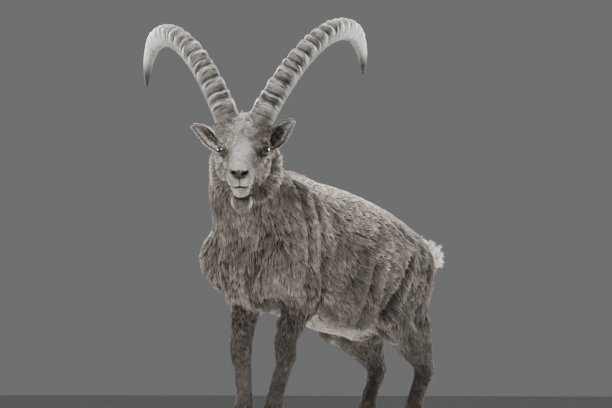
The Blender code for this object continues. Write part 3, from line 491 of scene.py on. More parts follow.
def solid_copy(node: str, grow: float = 0.0) -> bpy.types.Object:
    """A merged copy of a CAD node that may be changed, grown a little outwards."""
    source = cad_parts[node]
    copy = bpy.data.objects.new("copy_" + node, source.data.copy())
    bpy.context.scene.collection.objects.link(copy)
    work = bmesh.new()
    work.from_mesh(copy.data)
    bmesh.ops.remove_doubles(work, verts=work.verts[:], dist=1e-6)
    work.to_mesh(copy.data)
    work.free()
    copy.data.materials.clear()
    if grow:
        move_points(copy, positions(copy) + normals(copy) * grow)
    return copy


def apply(obj: bpy.types.Object, kind: str, **settings: object) -> None:
    """Adds a modifier and applies it."""
    activate(obj)
    step = obj.modifiers.new("step", kind)
    for key, value in settings.items():
        setattr(step, key, value)
    bpy.ops.object.modifier_apply(modifier=step.name)


def joined(name: str, pieces: list) -> bpy.types.Object:
    """Several objects as one."""
    deselect()
    for piece in pieces:
        piece.select_set(True)
    bpy.context.view_layer.objects.active = pieces[0]
    bpy.ops.object.join()
    pieces[0].name = name
    pieces[0].data.name = name
    return pieces[0]


def raw_object(name: str, points: Array, faces: Array) -> bpy.types.Object:
    """An object from rows of points and rows of corner numbers, all rows as long."""
    mesh = bpy.data.meshes.new(name)
    size = faces.shape[1]
    mesh.vertices.add(len(points))
    mesh.vertices.foreach_set("co", np.ascontiguousarray(points, float).ravel())
    mesh.loops.add(faces.size)
    mesh.loops.foreach_set("vertex_index", faces.ravel().astype(np.int32))
    mesh.polygons.add(len(faces))
    mesh.polygons.foreach_set("loop_start", np.arange(0, faces.size, size, dtype=np.int32))
    mesh.polygons.foreach_set("loop_total", np.full(len(faces), size, dtype=np.int32))
    mesh.update(calc_edges=True)
    made = bpy.data.objects.new(name, mesh)
    bpy.context.scene.collection.objects.link(made)
    return made


def tube(rows: int, around: int) -> tuple[Array, Array]:
    """Numbers of a tube's points, one row for each ring, and its four-cornered faces."""
    index = np.arange(rows * around).reshape(rows, around)
    after = np.roll(index, -1, axis=1)
    return index, np.stack([index[:-1], after[:-1], after[1:], index[1:]], -1).reshape(-1, 4)


def face_outwards(obj: bpy.types.Object) -> None:
    """Turns every face of a closed mesh outwards."""
    work = bmesh.new()
    work.from_mesh(obj.data)
    bmesh.ops.recalc_face_normals(work, faces=work.faces[:])
    work.to_mesh(obj.data)
    work.free()


def keep_value(obj: bpy.types.Object, name: str, values: Array) -> None:
    """Keeps a number on each point."""
    kept = obj.data.attributes.new(name, "FLOAT", "POINT")
    kept.data.foreach_set("value", np.ascontiguousarray(values, np.float32))


def keep_colour(obj: bpy.types.Object, name: str, colours: Array) -> None:
    """Keeps a colour on each point."""
    kept = obj.data.attributes.new(name, "FLOAT_COLOR", "POINT")
    rows = np.hstack([colours, np.ones((len(colours), 1))]).astype(np.float32)
    kept.data.foreach_set("color", rows.ravel())


def keep_map(obj: bpy.types.Object, name: str, per_point: Array) -> None:
    """Keeps a UV map from a u and v for each point."""
    corners = np.zeros(len(obj.data.loops), np.int32)
    obj.data.loops.foreach_get("vertex_index", corners)
    layer = obj.data.uv_layers.new(name=name)
    layer.uv.foreach_set("vector", per_point[corners].astype(np.float32).ravel())


def dress(obj: bpy.types.Object, material: bpy.types.Material, slot: str, *replaced: str) -> None:
    """Gives a piece its material and its ride, and hides the nodes that it stands for."""
    obj.data.materials.clear()
    obj.data.materials.append(material)
    obj.data.polygons.foreach_set("use_smooth", np.ones(len(obj.data.polygons), bool))
    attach(obj, BODY)
    if replaced:
        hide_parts(*replaced)
    LOG.info("%s: %d faces", obj.name, len(obj.data.polygons))


# The coat's lie, length and markings


class Where(Enum):
    """What a row of the combing chart is measured from."""

    BODY = "body"
    HEAD = "head"


@dataclass(frozen=True)
class Comb:
    """How the coat lies near one place, mirrored to the other side.

    at and way are x, y, z for the body and forward, up, left for the head. length is in
    millimetres, tone is the brightness of the hair, clump how far tips draw together, lift how
    far they stand off.
    """

    at: tuple[float, float, float]
    way: tuple[float, float, float]
    length: float
    tone: float
    clump: float = 0.5
    lift: float = 0.24
    curl: float = 0.10
    where: Where = Where.BODY


CHART = (
    # back and rump
    Comb((0.0, -0.06, 0.770), (0.0, 0.9, -0.15), 34, 1.05),
    Comb((0.0, 0.10, 0.765), (0.0, 1.0, -0.08), 30, 1.45),
    Comb((0.0, 0.28, 0.725), (0.0, 1.0, -0.18), 30, 1.55),
    Comb((0.0, 0.45, 0.675), (0.0, 1.0, -0.45), 30, 1.40),
    Comb((0.0, 0.56, 0.610), (0.0, 0.6, -0.80), 26, 1.35),
    Comb((0.09, 0.36, 0.675), (0.2, 0.9, -0.45), 28, 1.30),
    Comb((0.09, 0.12, 0.730), (0.2, 0.9, -0.35), 30, 1.25),
    # shoulder and ribs
    Comb((0.09, -0.06, 0.700), (0.25, 0.55, -0.80), 34, 0.92),
    Comb((0.15, -0.09, 0.600), (0.1, 0.35, -0.95), 34, 0.80),
    Comb((0.15, -0.16, 0.500), (0.05, 0.10, -1.0), 36, 0.95),
    Comb((0.15, 0.03, 0.560), (0.0, 0.65, -0.75), 30, 0.64),
    Comb((0.14, 0.16, 0.660), (0.15, 0.85, -0.50), 28, 0.92),
    Comb((0.18, 0.18, 0.530), (0.0, 0.80, -0.62), 30, 0.68),
    Comb((0.17, 0.10, 0.420), (-0.1, 0.75, -0.65), 32, 0.50),
    Comb((0.17, 0.28, 0.420), (-0.1, 0.70, -0.70), 34, 0.52),
    Comb((0.12, 0.18, 0.345), (-0.4, 0.90, -0.25), 30, 0.62),
    Comb((0.17, 0.34, 0.580), (0.05, 0.72, -0.70), 28, 0.80),
    Comb((0.0, 0.05, 0.335), (0.0, 1.0, 0.0), 28, 2.0, 0.5, 0.3),
    Comb((0.0, 0.22, 0.300), (0.0, 1.0, -0.05), 30, 2.4, 0.5, 0.3),
    Comb((0.06, 0.34, 0.310), (0.0, 0.9, -0.30), 30, 2.2, 0.5, 0.3),
    # hip, thigh and buttock
    Comb((0.13, 0.43, 0.590), (0.1, 0.60, -0.80), 32, 0.98),
    Comb((0.15, 0.40, 0.480), (0.0, 0.45, -0.90), 44, 0.72, 0.72),
    Comb((0.14, 0.36, 0.380), (0.0, 0.25, -0.97), 44, 0.66, 0.75),
    Comb((0.11, 0.50, 0.500), (0.05, 0.25, -0.97), 42, 0.80, 0.72),
    Comb((0.08, 0.56, 0.440), (0.0, 0.05, -1.0), 38, 1.60, 0.70),
    Comb((0.03, 0.58, 0.500), (0.0, 0.20, -1.0), 34, 2.1, 0.6),
    Comb((0.10, 0.50, 0.350), (0.0, 0.15, -1.0), 34, 0.85, 0.70),
    Comb((0.06, 0.44, 0.350), (-0.1, 0.20, -1.0), 28, 1.5, 0.6),
    # chest and neck
    Comb((0.0, -0.27, 0.560), (0.0, -0.15, -1.0), 42, 0.74, 0.68, 0.24),
    Comb((0.06, -0.25, 0.520), (0.12, -0.10, -1.0), 42, 0.74, 0.68, 0.24),
    Comb((0.0, -0.25, 0.470), (0.0, 0.10, -1.0), 42, 0.92, 0.68, 0.24),
    Comb((0.0, -0.18, 0.400), (0.0, 0.55, -0.85), 36, 1.25, 0.6, 0.25),
    Comb((0.0, -0.06, 0.355), (0.0, 0.95, -0.25), 30, 1.6, 0.5, 0.3),
    Comb((0.03, -0.33, 0.680), (-0.06, -0.05, -1.0), 44, 0.72, 0.68, 0.24),
    Comb((-0.05, -0.28, 0.680), (-0.15, 0.0, -1.0), 42, 1.05, 0.68, 0.24),
    Comb((0.12, -0.24, 0.700), (0.12, 0.30, -1.0), 40, 0.98, 0.66, 0.24),
    Comb((0.12, -0.15, 0.640), (0.15, 0.40, -0.95), 36, 0.90, 0.6),
    Comb((0.04, -0.15, 0.810), (0.0, 0.80, -0.50), 34, 1.0),
    # fore legs
    Comb((0.125, -0.08, 0.430), (0.0, 0.15, -1.0), 32, 0.66, 0.6),
    Comb((0.10, -0.13, 0.360), (0.0, 0.0, -1.0), 26, 0.46, 0.6),
    Comb((0.09, -0.09, 0.330), (0.0, 0.05, -1.0), 24, 0.80, 0.6),
    Comb((0.09, -0.145, 0.250), (0.0, 0.0, -1.0), 16, 0.40, 0.5),
    Comb((0.09, -0.10, 0.250), (0.0, 0.0, -1.0), 16, 0.75, 0.5),
    Comb((0.08, -0.15, 0.150), (0.0, 0.0, -1.0), 9, 0.36, 0.4),
    Comb((0.08, -0.11, 0.150), (0.0, 0.0, -1.0), 10, 0.85, 0.4),
    Comb((0.07, -0.16, 0.055), (0.0, -0.2, -1.0), 12, 0.45, 0.4),
    # hind legs
    Comb((0.12, 0.40, 0.300), (0.0, 0.35, -0.95), 24, 0.55, 0.6),
    Comb((0.10, 0.47, 0.260), (0.0, 0.45, -0.90), 16, 0.45, 0.5),
    Comb((0.09, 0.55, 0.220), (0.0, 0.15, -1.0), 12, 1.0, 0.4),
    Comb((0.09, 0.50, 0.190), (0.0, -0.1, -1.0), 10, 0.42, 0.4),
    Comb((0.09, 0.48, 0.130), (0.0, -0.25, -1.0), 9, 0.36, 0.4),
    Comb((0.09, 0.53, 0.130), (0.0, -0.25, -1.0), 10, 0.95, 0.4),
    Comb((0.09, 0.46, 0.055), (0.0, -0.35, -1.0), 12, 0.45, 0.4),
    # head: forward, up, left
    Comb((0.130, 0.014, 0.0), (1.0, -0.30, 0.0), 5, 1.45, 0.3, 0.22, 0.05, Where.HEAD),
    Comb((0.095, 0.032, 0.0), (1.0, -0.25, 0.0), 7, 2.0, 0.3, 0.22, 0.05, Where.HEAD),
    Comb((0.055, 0.045, 0.0), (1.0, -0.20, 0.0), 9, 1.85, 0.4, 0.24, 0.20, Where.HEAD),
    Comb((0.020, 0.060, 0.0), (0.5, -0.10, 0.6), 13, 1.35, 0.6, 0.34, 0.60, Where.HEAD),
    Comb((-0.010, 0.078, 0.0), (0.1, 0.90, 0.3), 15, 1.40, 0.75, 0.38, 0.80, Where.HEAD),
    Comb((-0.050, 0.090, 0.0), (-0.6, 0.60, 0.0), 14, 1.15, 0.70, 0.32, 0.60, Where.HEAD),
    Comb((-0.002, 0.070, 0.040), (0.7, -0.30, 0.4), 8, 0.95, 0.5, 0.16, 0.30, Where.HEAD),
    Comb((0.004, 0.050, 0.052), (0.6, -0.40, 0.5), 8, 0.85, 0.5, 0.16, 0.20, Where.HEAD),
    Comb((-0.040, 0.035, 0.068), (0.1, -0.70, 0.4), 9, 0.90, 0.5, 0.18, 0.20, Where.HEAD),
    Comb((0.020, 0.022, 0.052), (-0.2, 0.90, 0.3), 8, 1.20, 0.4, 0.26, 0.20, Where.HEAD),
    Comb((0.040, -0.010, 0.045), (0.7, -0.60, 0.2), 7, 0.50, 0.3, 0.20, 0.10, Where.HEAD),
    Comb((0.075, -0.012, 0.036), (0.5, -0.75, 0.2), 7, 0.62, 0.3, 0.20, 0.10, Where.HEAD),
    Comb((0.110, -0.020, 0.034), (0.2, -0.90, 0.2), 6, 1.00, 0.3, 0.20, 0.05, Where.HEAD),
    Comb((0.125, -0.050, 0.034), (-0.5, -0.80, 0.1), 6, 1.45, 0.3, 0.22, 0.05, Where.HEAD),
    Comb((0.150, -0.050, 0.010), (-0.1, -1.0, 0.2), 4, 1.55, 0.3, 0.20, 0.05, Where.HEAD),
    Comb((0.145, -0.085, 0.0), (-0.1, -1.0, 0.0), 9, 1.25, 0.3, 0.24, 0.05, Where.HEAD),
    Comb((0.120, -0.085, 0.026), (-0.4, -0.9, 0.1), 13, 1.35, 0.5, 0.26, 0.10, Where.HEAD),
    Comb((0.080, -0.050, 0.042), (-0.6, -0.75, 0.1), 10, 0.95, 0.4, 0.24, 0.10, Where.HEAD),
    Comb((0.030, -0.040, 0.056), (-0.5, -0.85, 0.1), 12, 0.85, 0.5, 0.24, 0.15, Where.HEAD),
    Comb((-0.030, -0.030, 0.066), (-0.7, -0.70, 0.1), 20, 1.05, 0.6, 0.26, 0.20, Where.HEAD),
    Comb((-0.030, -0.080, 0.050), (-0.7, -0.70, 0.0), 28, 1.00, 0.65, 0.28, 0.15, Where.HEAD),
    Comb((0.030, -0.090, 0.025), (-0.8, -0.60, 0.0), 20, 0.70, 0.5, 0.28, 0.10, Where.HEAD),
    Comb((-0.080, -0.020, 0.065), (-0.9, -0.40, 0.0), 30, 1.00, 0.6, 0.26, 0.20, Where.HEAD),
    Comb((-0.070, 0.050, 0.050), (-0.9, 0.10, 0.1), 28, 0.95, 0.6, 0.28, 0.30, Where.HEAD),
)


@dataclass(frozen=True)
class Crease:
    """A fold between two masses: the skin dips along the line and swells beside it.

    Points are x, y, z for the body and forward, up, left for the head; depth and width are in
    metres, shade is how much darker the coat is painted along it: painted shade in a fold, and a dark
    stripe of the coat for the bands by the eye. Beside it the coat is painted lighter, a painted
    highlight on the swell.
    """

    line: tuple
    depth: float
    width: float
    shade: float
    both: bool = True
    where: Where = Where.BODY

    def lines(self) -> list:
        """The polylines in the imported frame, one for each side that has it."""
        made = []
        for sign in (1.0, -1.0) if self.both else (1.0,):
            rows = np.array(self.line, float)
            if self.where is Where.HEAD:
                made.append(HEAD.centre + rows * (1, 1, sign) @ HEAD.axes)
            else:
                made.append(place(rows * (sign, 1, 1)))
        return made

    def distance(self, points: Array) -> Array:
        """How far each place is from the nearest of the lines."""
        found = np.full(len(points), 9.0)
        for rows in self.lines():
            for start, end in zip(rows[:-1], rows[1:]):
                along = end - start
                share = np.clip((points - start) @ along / (along @ along), 0, 1)
                found = np.minimum(found, np.linalg.norm(points - start - share[:, None] * along, axis=1))
        return found


CREASES = (
    # breast, left and right, then the hollow behind the left fore leg's top, each with painted shade in its
    # fold
    Crease(((0.128, -0.235, 0.600), (0.124, -0.244, 0.568), (0.104, -0.256, 0.521), (0.065, -0.247, 0.472),
            (0.045, -0.225, 0.430)), 0.018, 0.016, 0.80, both=False),
    Crease(((-0.013, -0.274, 0.520), (-0.022, -0.265, 0.480), (-0.040, -0.240, 0.440)),
           0.014, 0.013, 0.62, both=False),
    Crease(((0.040, -0.190, 0.405), (0.060, -0.165, 0.392), (0.075, -0.150, 0.380)), 0.016, 0.020, 0.75),
    # front and rear edges of the shoulder, with painted shade along them
    Crease(((0.118, -0.125, 0.755), (0.148, -0.118, 0.690), (0.160, -0.100, 0.620), (0.168, -0.100, 0.540),
            (0.160, -0.110, 0.460)), 0.007, 0.014, 0.40),
    Crease(((0.140, -0.050, 0.720), (0.162, -0.040, 0.640), (0.167, -0.028, 0.560), (0.165, -0.025, 0.470),
            (0.150, -0.040, 0.385)), 0.009, 0.017, 0.50),
    # flank fold in front of the thigh, the hip, and the valley along the thigh, with painted shade in each
    Crease(((0.182, 0.190, 0.510), (0.175, 0.188, 0.460), (0.150, 0.188, 0.400), (0.100, 0.215, 0.335)),
           0.010, 0.017, 0.55),
    Crease(((0.110, 0.320, 0.655), (0.140, 0.380, 0.607), (0.150, 0.440, 0.565)), 0.006, 0.013, 0.38),
    Crease(((0.176, 0.370, 0.540), (0.179, 0.346, 0.500), (0.172, 0.300, 0.437), (0.146, 0.268, 0.371)),
           0.008, 0.014, 0.45),
    Crease(((0.120, 0.490, 0.560), (0.135, 0.480, 0.480), (0.125, 0.450, 0.400)), 0.006, 0.016, 0.35),
    # under the jaw and behind the cheek, where the head parts from the neck, with painted shade in the fold
    Crease(((-0.060, -0.052, 0.084), (-0.045, -0.085, 0.078), (-0.020, -0.110, 0.060),
            (0.010, -0.118, 0.030), (0.020, -0.120, 0.0)), 0.007, 0.015, 0.55, where=Where.HEAD),
    # the dark band from the eye's inner corner down the cheek
    Crease(((0.030, 0.002, 0.056), (0.018, -0.016, 0.060), (0.000, -0.036, 0.065), (-0.018, -0.058, 0.069)),
           0.0022, 0.0095, 0.58, where=Where.HEAD),
    Crease(((0.038, 0.012, 0.046), (0.060, -0.012, 0.041), (0.085, -0.028, 0.039)),
           0.0015, 0.0085, 0.42, where=Where.HEAD),
)


class CoatPlan:
    """Works out the coat at any place from the combing chart."""

    colour = np.array([0.205, 0.180, 0.155])
    at_once = 20000

    def __init__(self) -> None:
        """Sets the chart out on both sides."""
        spots, ways, values = [], [], []
        for comb in CHART:
            for sign in SIDES.values():
                at, way = np.array(comb.at), np.array(comb.way)
                if comb.where is Where.HEAD:
                    at, way = at * (1, 1, sign), way * (1, 1, sign)
                    spots.append(HEAD.point(*at))
                    ways.append(unit(way @ HEAD.axes))
                else:
                    spots.append(place(at * (sign, 1, 1)))
                    ways.append(unit(way * (sign, 1, 1)))
                head = 1.0 if comb.where is Where.HEAD else 0.0
                values.append((comb.length / 1000, comb.tone, comb.clump, comb.lift, comb.curl, head))
        self.spots, self.ways, self.values = np.array(spots), np.array(ways), np.array(values)
        self.blotch, self.fine, self.sway = Ripple(3, 0.060), Ripple(4, 0.014), Ripple(5, 0.050)
        self.curls = Ripple(6, 0.0075)

    def __call__(self, points: Array) -> tuple[Array, Array]:
        """The coat at rows of x, y, z.

        Returns:
            Directions, and rows of length, tone, clump, lift, curl and how much it belongs to the head.
        """
        ways, values = [], []
        for start in range(0, len(points), self.at_once):
            part = points[start:start + self.at_once]
            apart = ((part[:, None] - self.spots[None]) ** 2).sum(2)
            weight = 1.0 / (apart + 0.0004) ** 2.2
            weight /= weight.sum(1, keepdims=True)
            ways.append(weight @ self.ways)
            values.append(weight @ self.values)
        return units(np.concatenate(ways)), np.concatenate(values)

    @staticmethod
    def mouth_height(forward: Array, left: Array) -> tuple[Array, Array]:
        """Height of the mouth's line round the muzzle, and how much of a mouth there is there."""
        turn = np.degrees(np.arctan2(np.abs(left), forward - 0.085))
        height = np.interp(turn, (0, 15, 40, 75), (-0.060, -0.0625, -0.062, -0.054))
        return height, 1 - ramp(turn, 58.0, 80.0)

    def push(self, points: Array) -> Array:
        """How far the skin dips at its creases, less where it swells beside them."""
        deep = np.zeros(len(points))
        for crease in CREASES:
            far = crease.distance(points) / crease.width
            deep += crease.depth * (np.exp(-(far**2)) - 0.35 * np.exp(-((far - 2.0) ** 2) * 1.5))
        return deep

    def depth(self, points: Array) -> Array:
        """How far the skin lies under the tips of the coat."""
        _, values = self(points)
        return np.clip(values[:, 0] * (0.10 + 0.75 * values[:, 3]), 0.0008, 0.014)

    def paler(self, plan: Array, near: Array, local: Array) -> Array:
        """How much paler forehead, bridge of the nose, cheeks and trunk are than the chart's tone, and how
        much darker the throat is, a painted shadow under the beard.

        Args:
            plan: rows of x, y, z before the shift.
            near: the share by which each place belongs to the head.
            local: rows of forward, up and left in the head's own axes.

        Returns:
            One number for each place, 0 for no change.
        """
        forward, up, left = local.T
        crown = np.exp(-((left / 0.034) ** 4)) * ramp(up, 0.016, 0.040) * (1 - ramp(up, 0.088, 0.100))
        curly = 1 + 0.65 * self.curls(plan)
        bridge = np.exp(-((left / 0.026) ** 4)) * ramp(forward, 0.015, 0.045)
        bridge = bridge * (1 - ramp(up, 0.020, 0.045))
        cheek = ramp(np.abs(left), 0.022, 0.036) * (1 - ramp(up, -0.030, -0.006))
        trunk = (1 - near) * ramp(plan[:, 1], -0.30, -0.14) * ramp(plan[:, 2], 0.36, 0.43)
        trunk = trunk * (1 - ramp(plan[:, 1], 0.20, 0.42))
        # Painted shadow on the throat under the beard.
        throat = blot(local, (0.065, -0.130, 0.0), (0.055, 0.040, 0.060))
        face = near * (1.35 * crown * curly + 1.0 * bridge + 0.42 * cheek)
        return face + 0.40 * trunk - 0.17 * (1 - near) - 0.55 * throat

    def marking(self, points: Array, values: Array, outward: Array) -> Array:
        """The colour of the coat, the same on skin and hair, with painted shade in its folds, at the throat
        and in front of the beard, and a painted highlight beside the folds.

        Args:
            points: rows of x, y, z.
            values: the chart's values there.
            outward: the surface's directions there.

        Returns:
            Rows of red, green and blue.
        """
        tone = values[:, 1] * (1 + 0.16 * self.blotch(points) + 0.14 * self.fine(points))
        plan = points - SHIFT
        local = HEAD.local(points)
        near = ramp(values[:, 5], 0.35, 0.8)
        tone = self.face(tone, near, points, local)
        spine = swell(plan[:, 0], 0.0, 0.020) * ramp(plan[:, 2], 0.60, 0.68)
        tone = tone * (1 - 0.28 * spine * ramp(plan[:, 1], -0.1, 0.05))
        below = ramp(values[:, 1], 0.80, 1.3) * (1 - near) * ramp(-plan[:, 2], -0.46, -0.40)
        facing_down = ramp(-outward[:, 2], 0.74, 0.97)
        tone = tone * (1 - below * (1 - facing_down) * (1 - 0.48 / np.maximum(tone, 0.48)))
        tone = tone * (1 + self.paler(plan, near, local) * (1 - self.nose_pad(near, local)))
        # Painted shade along each crease, a dark stripe for the bands by the eye, and a painted highlight
        # on the swell beside each.
        for crease in CREASES:
            far = crease.distance(points) / crease.width
            rim = 0.30 if crease.where is Where.BODY else 0.10
            beside = rim * np.exp(-((far - 2.1) ** 2) * 1.6)
            tone = tone * (1 - crease.shade * (np.exp(-(far**2)) - beside))
        return faded(self.colour, np.clip(tone, 0.12, 3.4))

    @staticmethod
    def nose_pad(near: Array, local: Array) -> Array:
        """The bare dark pad between the nostrils, as a share of 1."""
        forward, up, left = local.T
        across = np.hypot(left / 0.025, (up + 0.019) / 0.016)
        return near * ramp(forward, 0.135, 0.150) * (1 - ramp(across, 0.70, 1.10))

    def face(self, tone: Array, near: Array, points: Array, local: Array) -> Array:
        """Adds the face's dark and pale places to the coat's tone, and painted shade in the hollow between
        the chin and the beard.

        Args:
            tone: the tone so far.
            near: the share by which each place belongs to the head.
            points: rows of x, y, z.
            local: rows of forward, up and left in the head's own axes.

        Returns:
            The new tone.
        """
        forward, up, left = local.T
        apart = [np.linalg.norm(points - HEAD.eye_at(sign), axis=1) for sign in SIDES.values()]
        orbit = np.min(apart, axis=0)
        tone = tone * (1 + near * (swell(orbit, 0.0300, 0.0060) - 0.74 * np.exp(-((orbit / 0.0205) ** 6))))
        gap = near * ramp(forward, 0.135, 0.150) * swell(up, -0.028, 0.008)
        gap = gap * (1 - ramp(np.abs(left), 0.010, 0.020))
        tone = tone * (1 - 0.62 * self.nose_pad(near, local)) * (1 - 0.65 * gap)
        cleft = near * ramp(forward, 0.13, 0.15) * swell(left, 0.0, 0.0030)
        cleft = cleft * ramp(up, -0.062, -0.056) * (1 - ramp(up, -0.034, -0.026))
        height, share = self.mouth_height(forward, left)
        tone = tone * (1 - 0.55 * cleft) * (1 - 0.85 * near * share * swell(up, height, 0.0030))
        # Painted shade in the hollow between the chin and the front of the beard.
        beard_gap = blot(local, (0.150, -0.102, 0.0), (0.020, 0.016, 0.015))
        return tone * (1 - 0.55 * beard_gap * near)


# Pieces


@dataclass
class Skin:
    """One hide over head, neck, trunk, legs and the roots of tail and beard, carved at the face."""

    plan: CoatPlan
    grid: float = 0.0060
    seal: float = 0.0008
    eye_radius: float = 0.0165
    eye_looks: tuple[float, float, float] = (0.62, 0.19, 0.77)
    opening: tuple[float, float] = (0.0156, 0.0112)
    nostril: tuple[float, float, float] = (0.157, -0.016, 0.0170)
    bare_colour: tuple[float, float, float] = (0.026, 0.021, 0.018)
    piece: bpy.types.Object = None
    bare: Array = None

    def build(self) -> None:
        """Fuses the flesh, fines the face, carves it, and draws all in by the coat's depth."""
        names = ["head", "neck", "torso"] + ["leg_" + leg for leg in LEG_NAMES]
        copies = [solid_copy(name, self.seal) for name in names]
        copies += [solid_copy("eye_" + side, 0.0036) for side in SIDES]
        for which in ("tail", "beard"):
            copies.append(self.core(which))
        self.piece = joined("skin", copies)
        apply(self.piece, "REMESH", mode="VOXEL", voxel_size=self.grid)
        apply(self.piece, "SMOOTH", factor=0.5, iterations=5)
        self.refine()
        points, outward = positions(self.piece), normals(self.piece)
        sunk = self.plan.depth(points) + self.plan.push(points) + self.seal * 0.7
        move_points(self.piece, self.carve(points - outward * sunk[:, None], outward))
        self.paint()
        dress(self.piece, SkinFinish().material(), "coat", *names, "ear_left", "ear_right", "tail", "beard")

    def core(self, which: str) -> bpy.types.Object:
        """The flesh inside the tail or the beard, as a tapered root."""
        if which == "tail":
            start, end, wide = place((0, 0.570, 0.585)), place((0, 0.700, 0.548)), 0.017
        else:
            start, end, wide = HEAD.point(0.116, -0.085, 0.0), HEAD.point(0.110, -0.125, 0.0), 0.018
        deselect()
        bpy.ops.mesh.primitive_uv_sphere_add(segments=20, ring_count=12, radius=1.0)
        made = bpy.context.object
        bpy.ops.object.mode_set(mode="EDIT")
        bpy.ops.mesh.select_all(action="SELECT")
        bpy.ops.transform.resize(value=(wide, wide, np.linalg.norm(end - start) * 0.58))
        bpy.ops.object.mode_set(mode="OBJECT")
        turned = Vector(end - start).to_track_quat("Z", "Y").to_matrix().to_4x4()
        turned.translation = Vector((start + end) / 2)
        made.data.transform(turned)
        return made

    def refine(self) -> None:
        """Subdivides the face, and again round the eyes, nose and mouth."""
        for step, reach in enumerate((0.085, 0.034)):
            work = bmesh.new()
            work.from_mesh(self.piece.data)
            centres = np.array([f.calc_center_median() for f in work.faces])
            local = HEAD.local(centres)
            near = np.zeros(len(centres), bool)
            for forward, up, left, wide in self.fine_spots():
                size = reach * wide
                near |= ((local - (forward, up, left)) ** 2).sum(1) < size**2
            if step == 0:
                near |= (local[:, 0] > -0.045) & (local[:, 1] > -0.105) & (np.abs(local).max(1) < 0.19)
            faces = [f for f, take in zip(work.faces, near) if take]
            edges = list({e for f in faces for e in f.edges})
            bmesh.ops.subdivide_edges(work, edges=edges, cuts=1, use_grid_fill=True, smooth=0.0)
            work.to_mesh(self.piece.data)
            work.free()
        apply(self.piece, "TRIANGULATE")
        group = self.piece.vertex_groups.new(name="face")
        local = HEAD.local(positions(self.piece))
        inside = np.nonzero((local[:, 0] > -0.06) & (np.abs(local).max(1) < 0.2))[0]
        group.add([int(i) for i in inside], 1.0, "REPLACE")
        apply(self.piece, "SMOOTH", factor=0.5, iterations=3, vertex_group="face")

    def fine_spots(self) -> list:
        """Places of the face that need small faces: forward, up, left, share of the reach."""
        spots = [(0.156, -0.040, 0.0, 1.25)]
        for sign in SIDES.values():
            spots += [(0.012, 0.0, sign * 0.064, 0.95), (0.130, -0.060, sign * 0.034, 0.8)]
        return spots

    def carve(self, points: Array, outward: Array) -> Array:
        """Lids, nostrils, the line of the mouth and lips.

        Args:
            points: the skin's points.
            outward: its directions there.

        Returns:
            The points moved.
        """
        local = HEAD.local(points)
        moved = points.copy()
        for sign in SIDES.values():
            moved = self.carve_lids(moved, sign)
            side = local * (1, 1, sign)
            off = side - np.array(self.nostril)
            tilt = math.radians(28)
            along = off[:, 2] * math.cos(tilt) + off[:, 1] * math.sin(tilt)
            over = -off[:, 2] * math.sin(tilt) + off[:, 1] * math.cos(tilt)
            bent = over - 18.0 * along**2 * 0.5
            apart = np.sqrt((along / 0.0112) ** 2 + (bent / 0.0064) ** 2 + (off[:, 0] / 0.020) ** 2)
            hollow = 0.0095 * (1 - ramp(apart, 0.35, 1.10)) - 0.0016 * swell(apart, 1.45, 0.35)
            moved -= outward * hollow[:, None] * (side[:, 2] > -0.002)[:, None]
        forward, up, left = local.T
        height, share = self.plan.mouth_height(forward, left)
        above = up - height
        slit = 0.0048 * swell(above, 0.0, 0.0026) * (1 + 0.6 * swell(left, 0.0, 0.012))
        full = 0.0022 * swell(above, 0.0075, 0.0042) + 0.0018 * swell(above, -0.0070, 0.0038)
        lips = share * ramp(forward, 0.06, 0.09) * (slit - full)
        cleft = 0.0022 * swell(left, 0.0, 0.0018) * ramp(up, -0.060, -0.054)
        cleft = cleft * ramp(-up, 0.004, 0.016) * ramp(forward, 0.13, 0.15)
        return moved - outward * (lips + cleft)[:, None]

    def carve_lids(self, points: Array, sign: float) -> Array:
        """Opens the lids over one eye, with a rolled rim and a crease above."""
        centre = HEAD.eye_at(sign)
        look = HEAD.toward(self.eye_looks, sign)
        high = unit(HEAD.axes[1] - look * (HEAD.axes[1] @ look))
        side = np.cross(high, look) * sign
        off = points - centre
        far = np.linalg.norm(off, axis=1)
        way = off / np.maximum(far, 1e-6)[:, None]
        front = (way @ look > 0.05) & (far < 0.045)
        across, over = way @ side * self.eye_radius, way @ high * self.eye_radius
        over = over + 0.0016 + 0.10 * across
        taller = np.where(over > 0, self.opening[1] * 1.05, self.opening[1] * 0.80)
        apart = np.sqrt((across / self.opening[0]) ** 2 + (over / taller) ** 2)
        rim = self.eye_radius + 0.0024 + 0.0010 * (over > 0) - 0.0016 * swell(apart, 1.55, 0.12)
        inner = self.eye_radius - 0.0030
        wanted = inner + (rim - inner) * ramp(apart, 0.96, 1.16)
        share = np.where(front, 1 - ramp(apart, 1.45, 2.1), 0.0)
        goal = far * (1 - share) + wanted * share
        return centre + way * np.where(share > 0, goal, far)[:, None]

    def paint(self) -> None:
        """Keeps the markings on the skin's points, darker than the hair above them by painted shade where
        that hair is long.
        """
        points, outward = positions(self.piece), normals(self.piece)
        _, values = self.plan(points)
        colours = self.plan.marking(points, values, outward)
        # Painted shade under the coat: the skin darkens where the hair over it is long.
        under = 1 - 0.5 * ramp(values[:, 0], 0.008, 0.022)
        local = HEAD.local(points)
        bare, wet = np.zeros(len(points)), np.zeros(len(points))
        for sign in SIDES.values():
            off = local * (1, 1, sign) - np.array(self.nostril)
            apart = np.linalg.norm(off * (0.7, 1.3, 0.8), axis=1)
            wet = np.maximum(wet, 1 - ramp(apart, 0.006, 0.013))
            bare = np.maximum(bare, wet)
            apart = np.linalg.norm(points - HEAD.eye_at(sign), axis=1) - self.eye_radius
            bare = np.maximum(bare, 0.55 * (1 - ramp(apart, 0.0026, 0.0042)))
        height, share = self.plan.mouth_height(local[:, 0], local[:, 2])
        lip = share * ramp(local[:, 0], 0.06, 0.09) * (np.abs(local).max(1) < 0.2)
        bare = np.maximum(bare, lip * (1 - ramp(np.abs(local[:, 1] - height), 0.0012, 0.0030)))
        colours = colours * (under * (1 - bare))[:, None] + np.array(self.bare_colour) * bare[:, None]
        keep_colour(self.piece, "marking", colours)
        keep_value(self.piece, "wet", wet)
        self.bare = bare


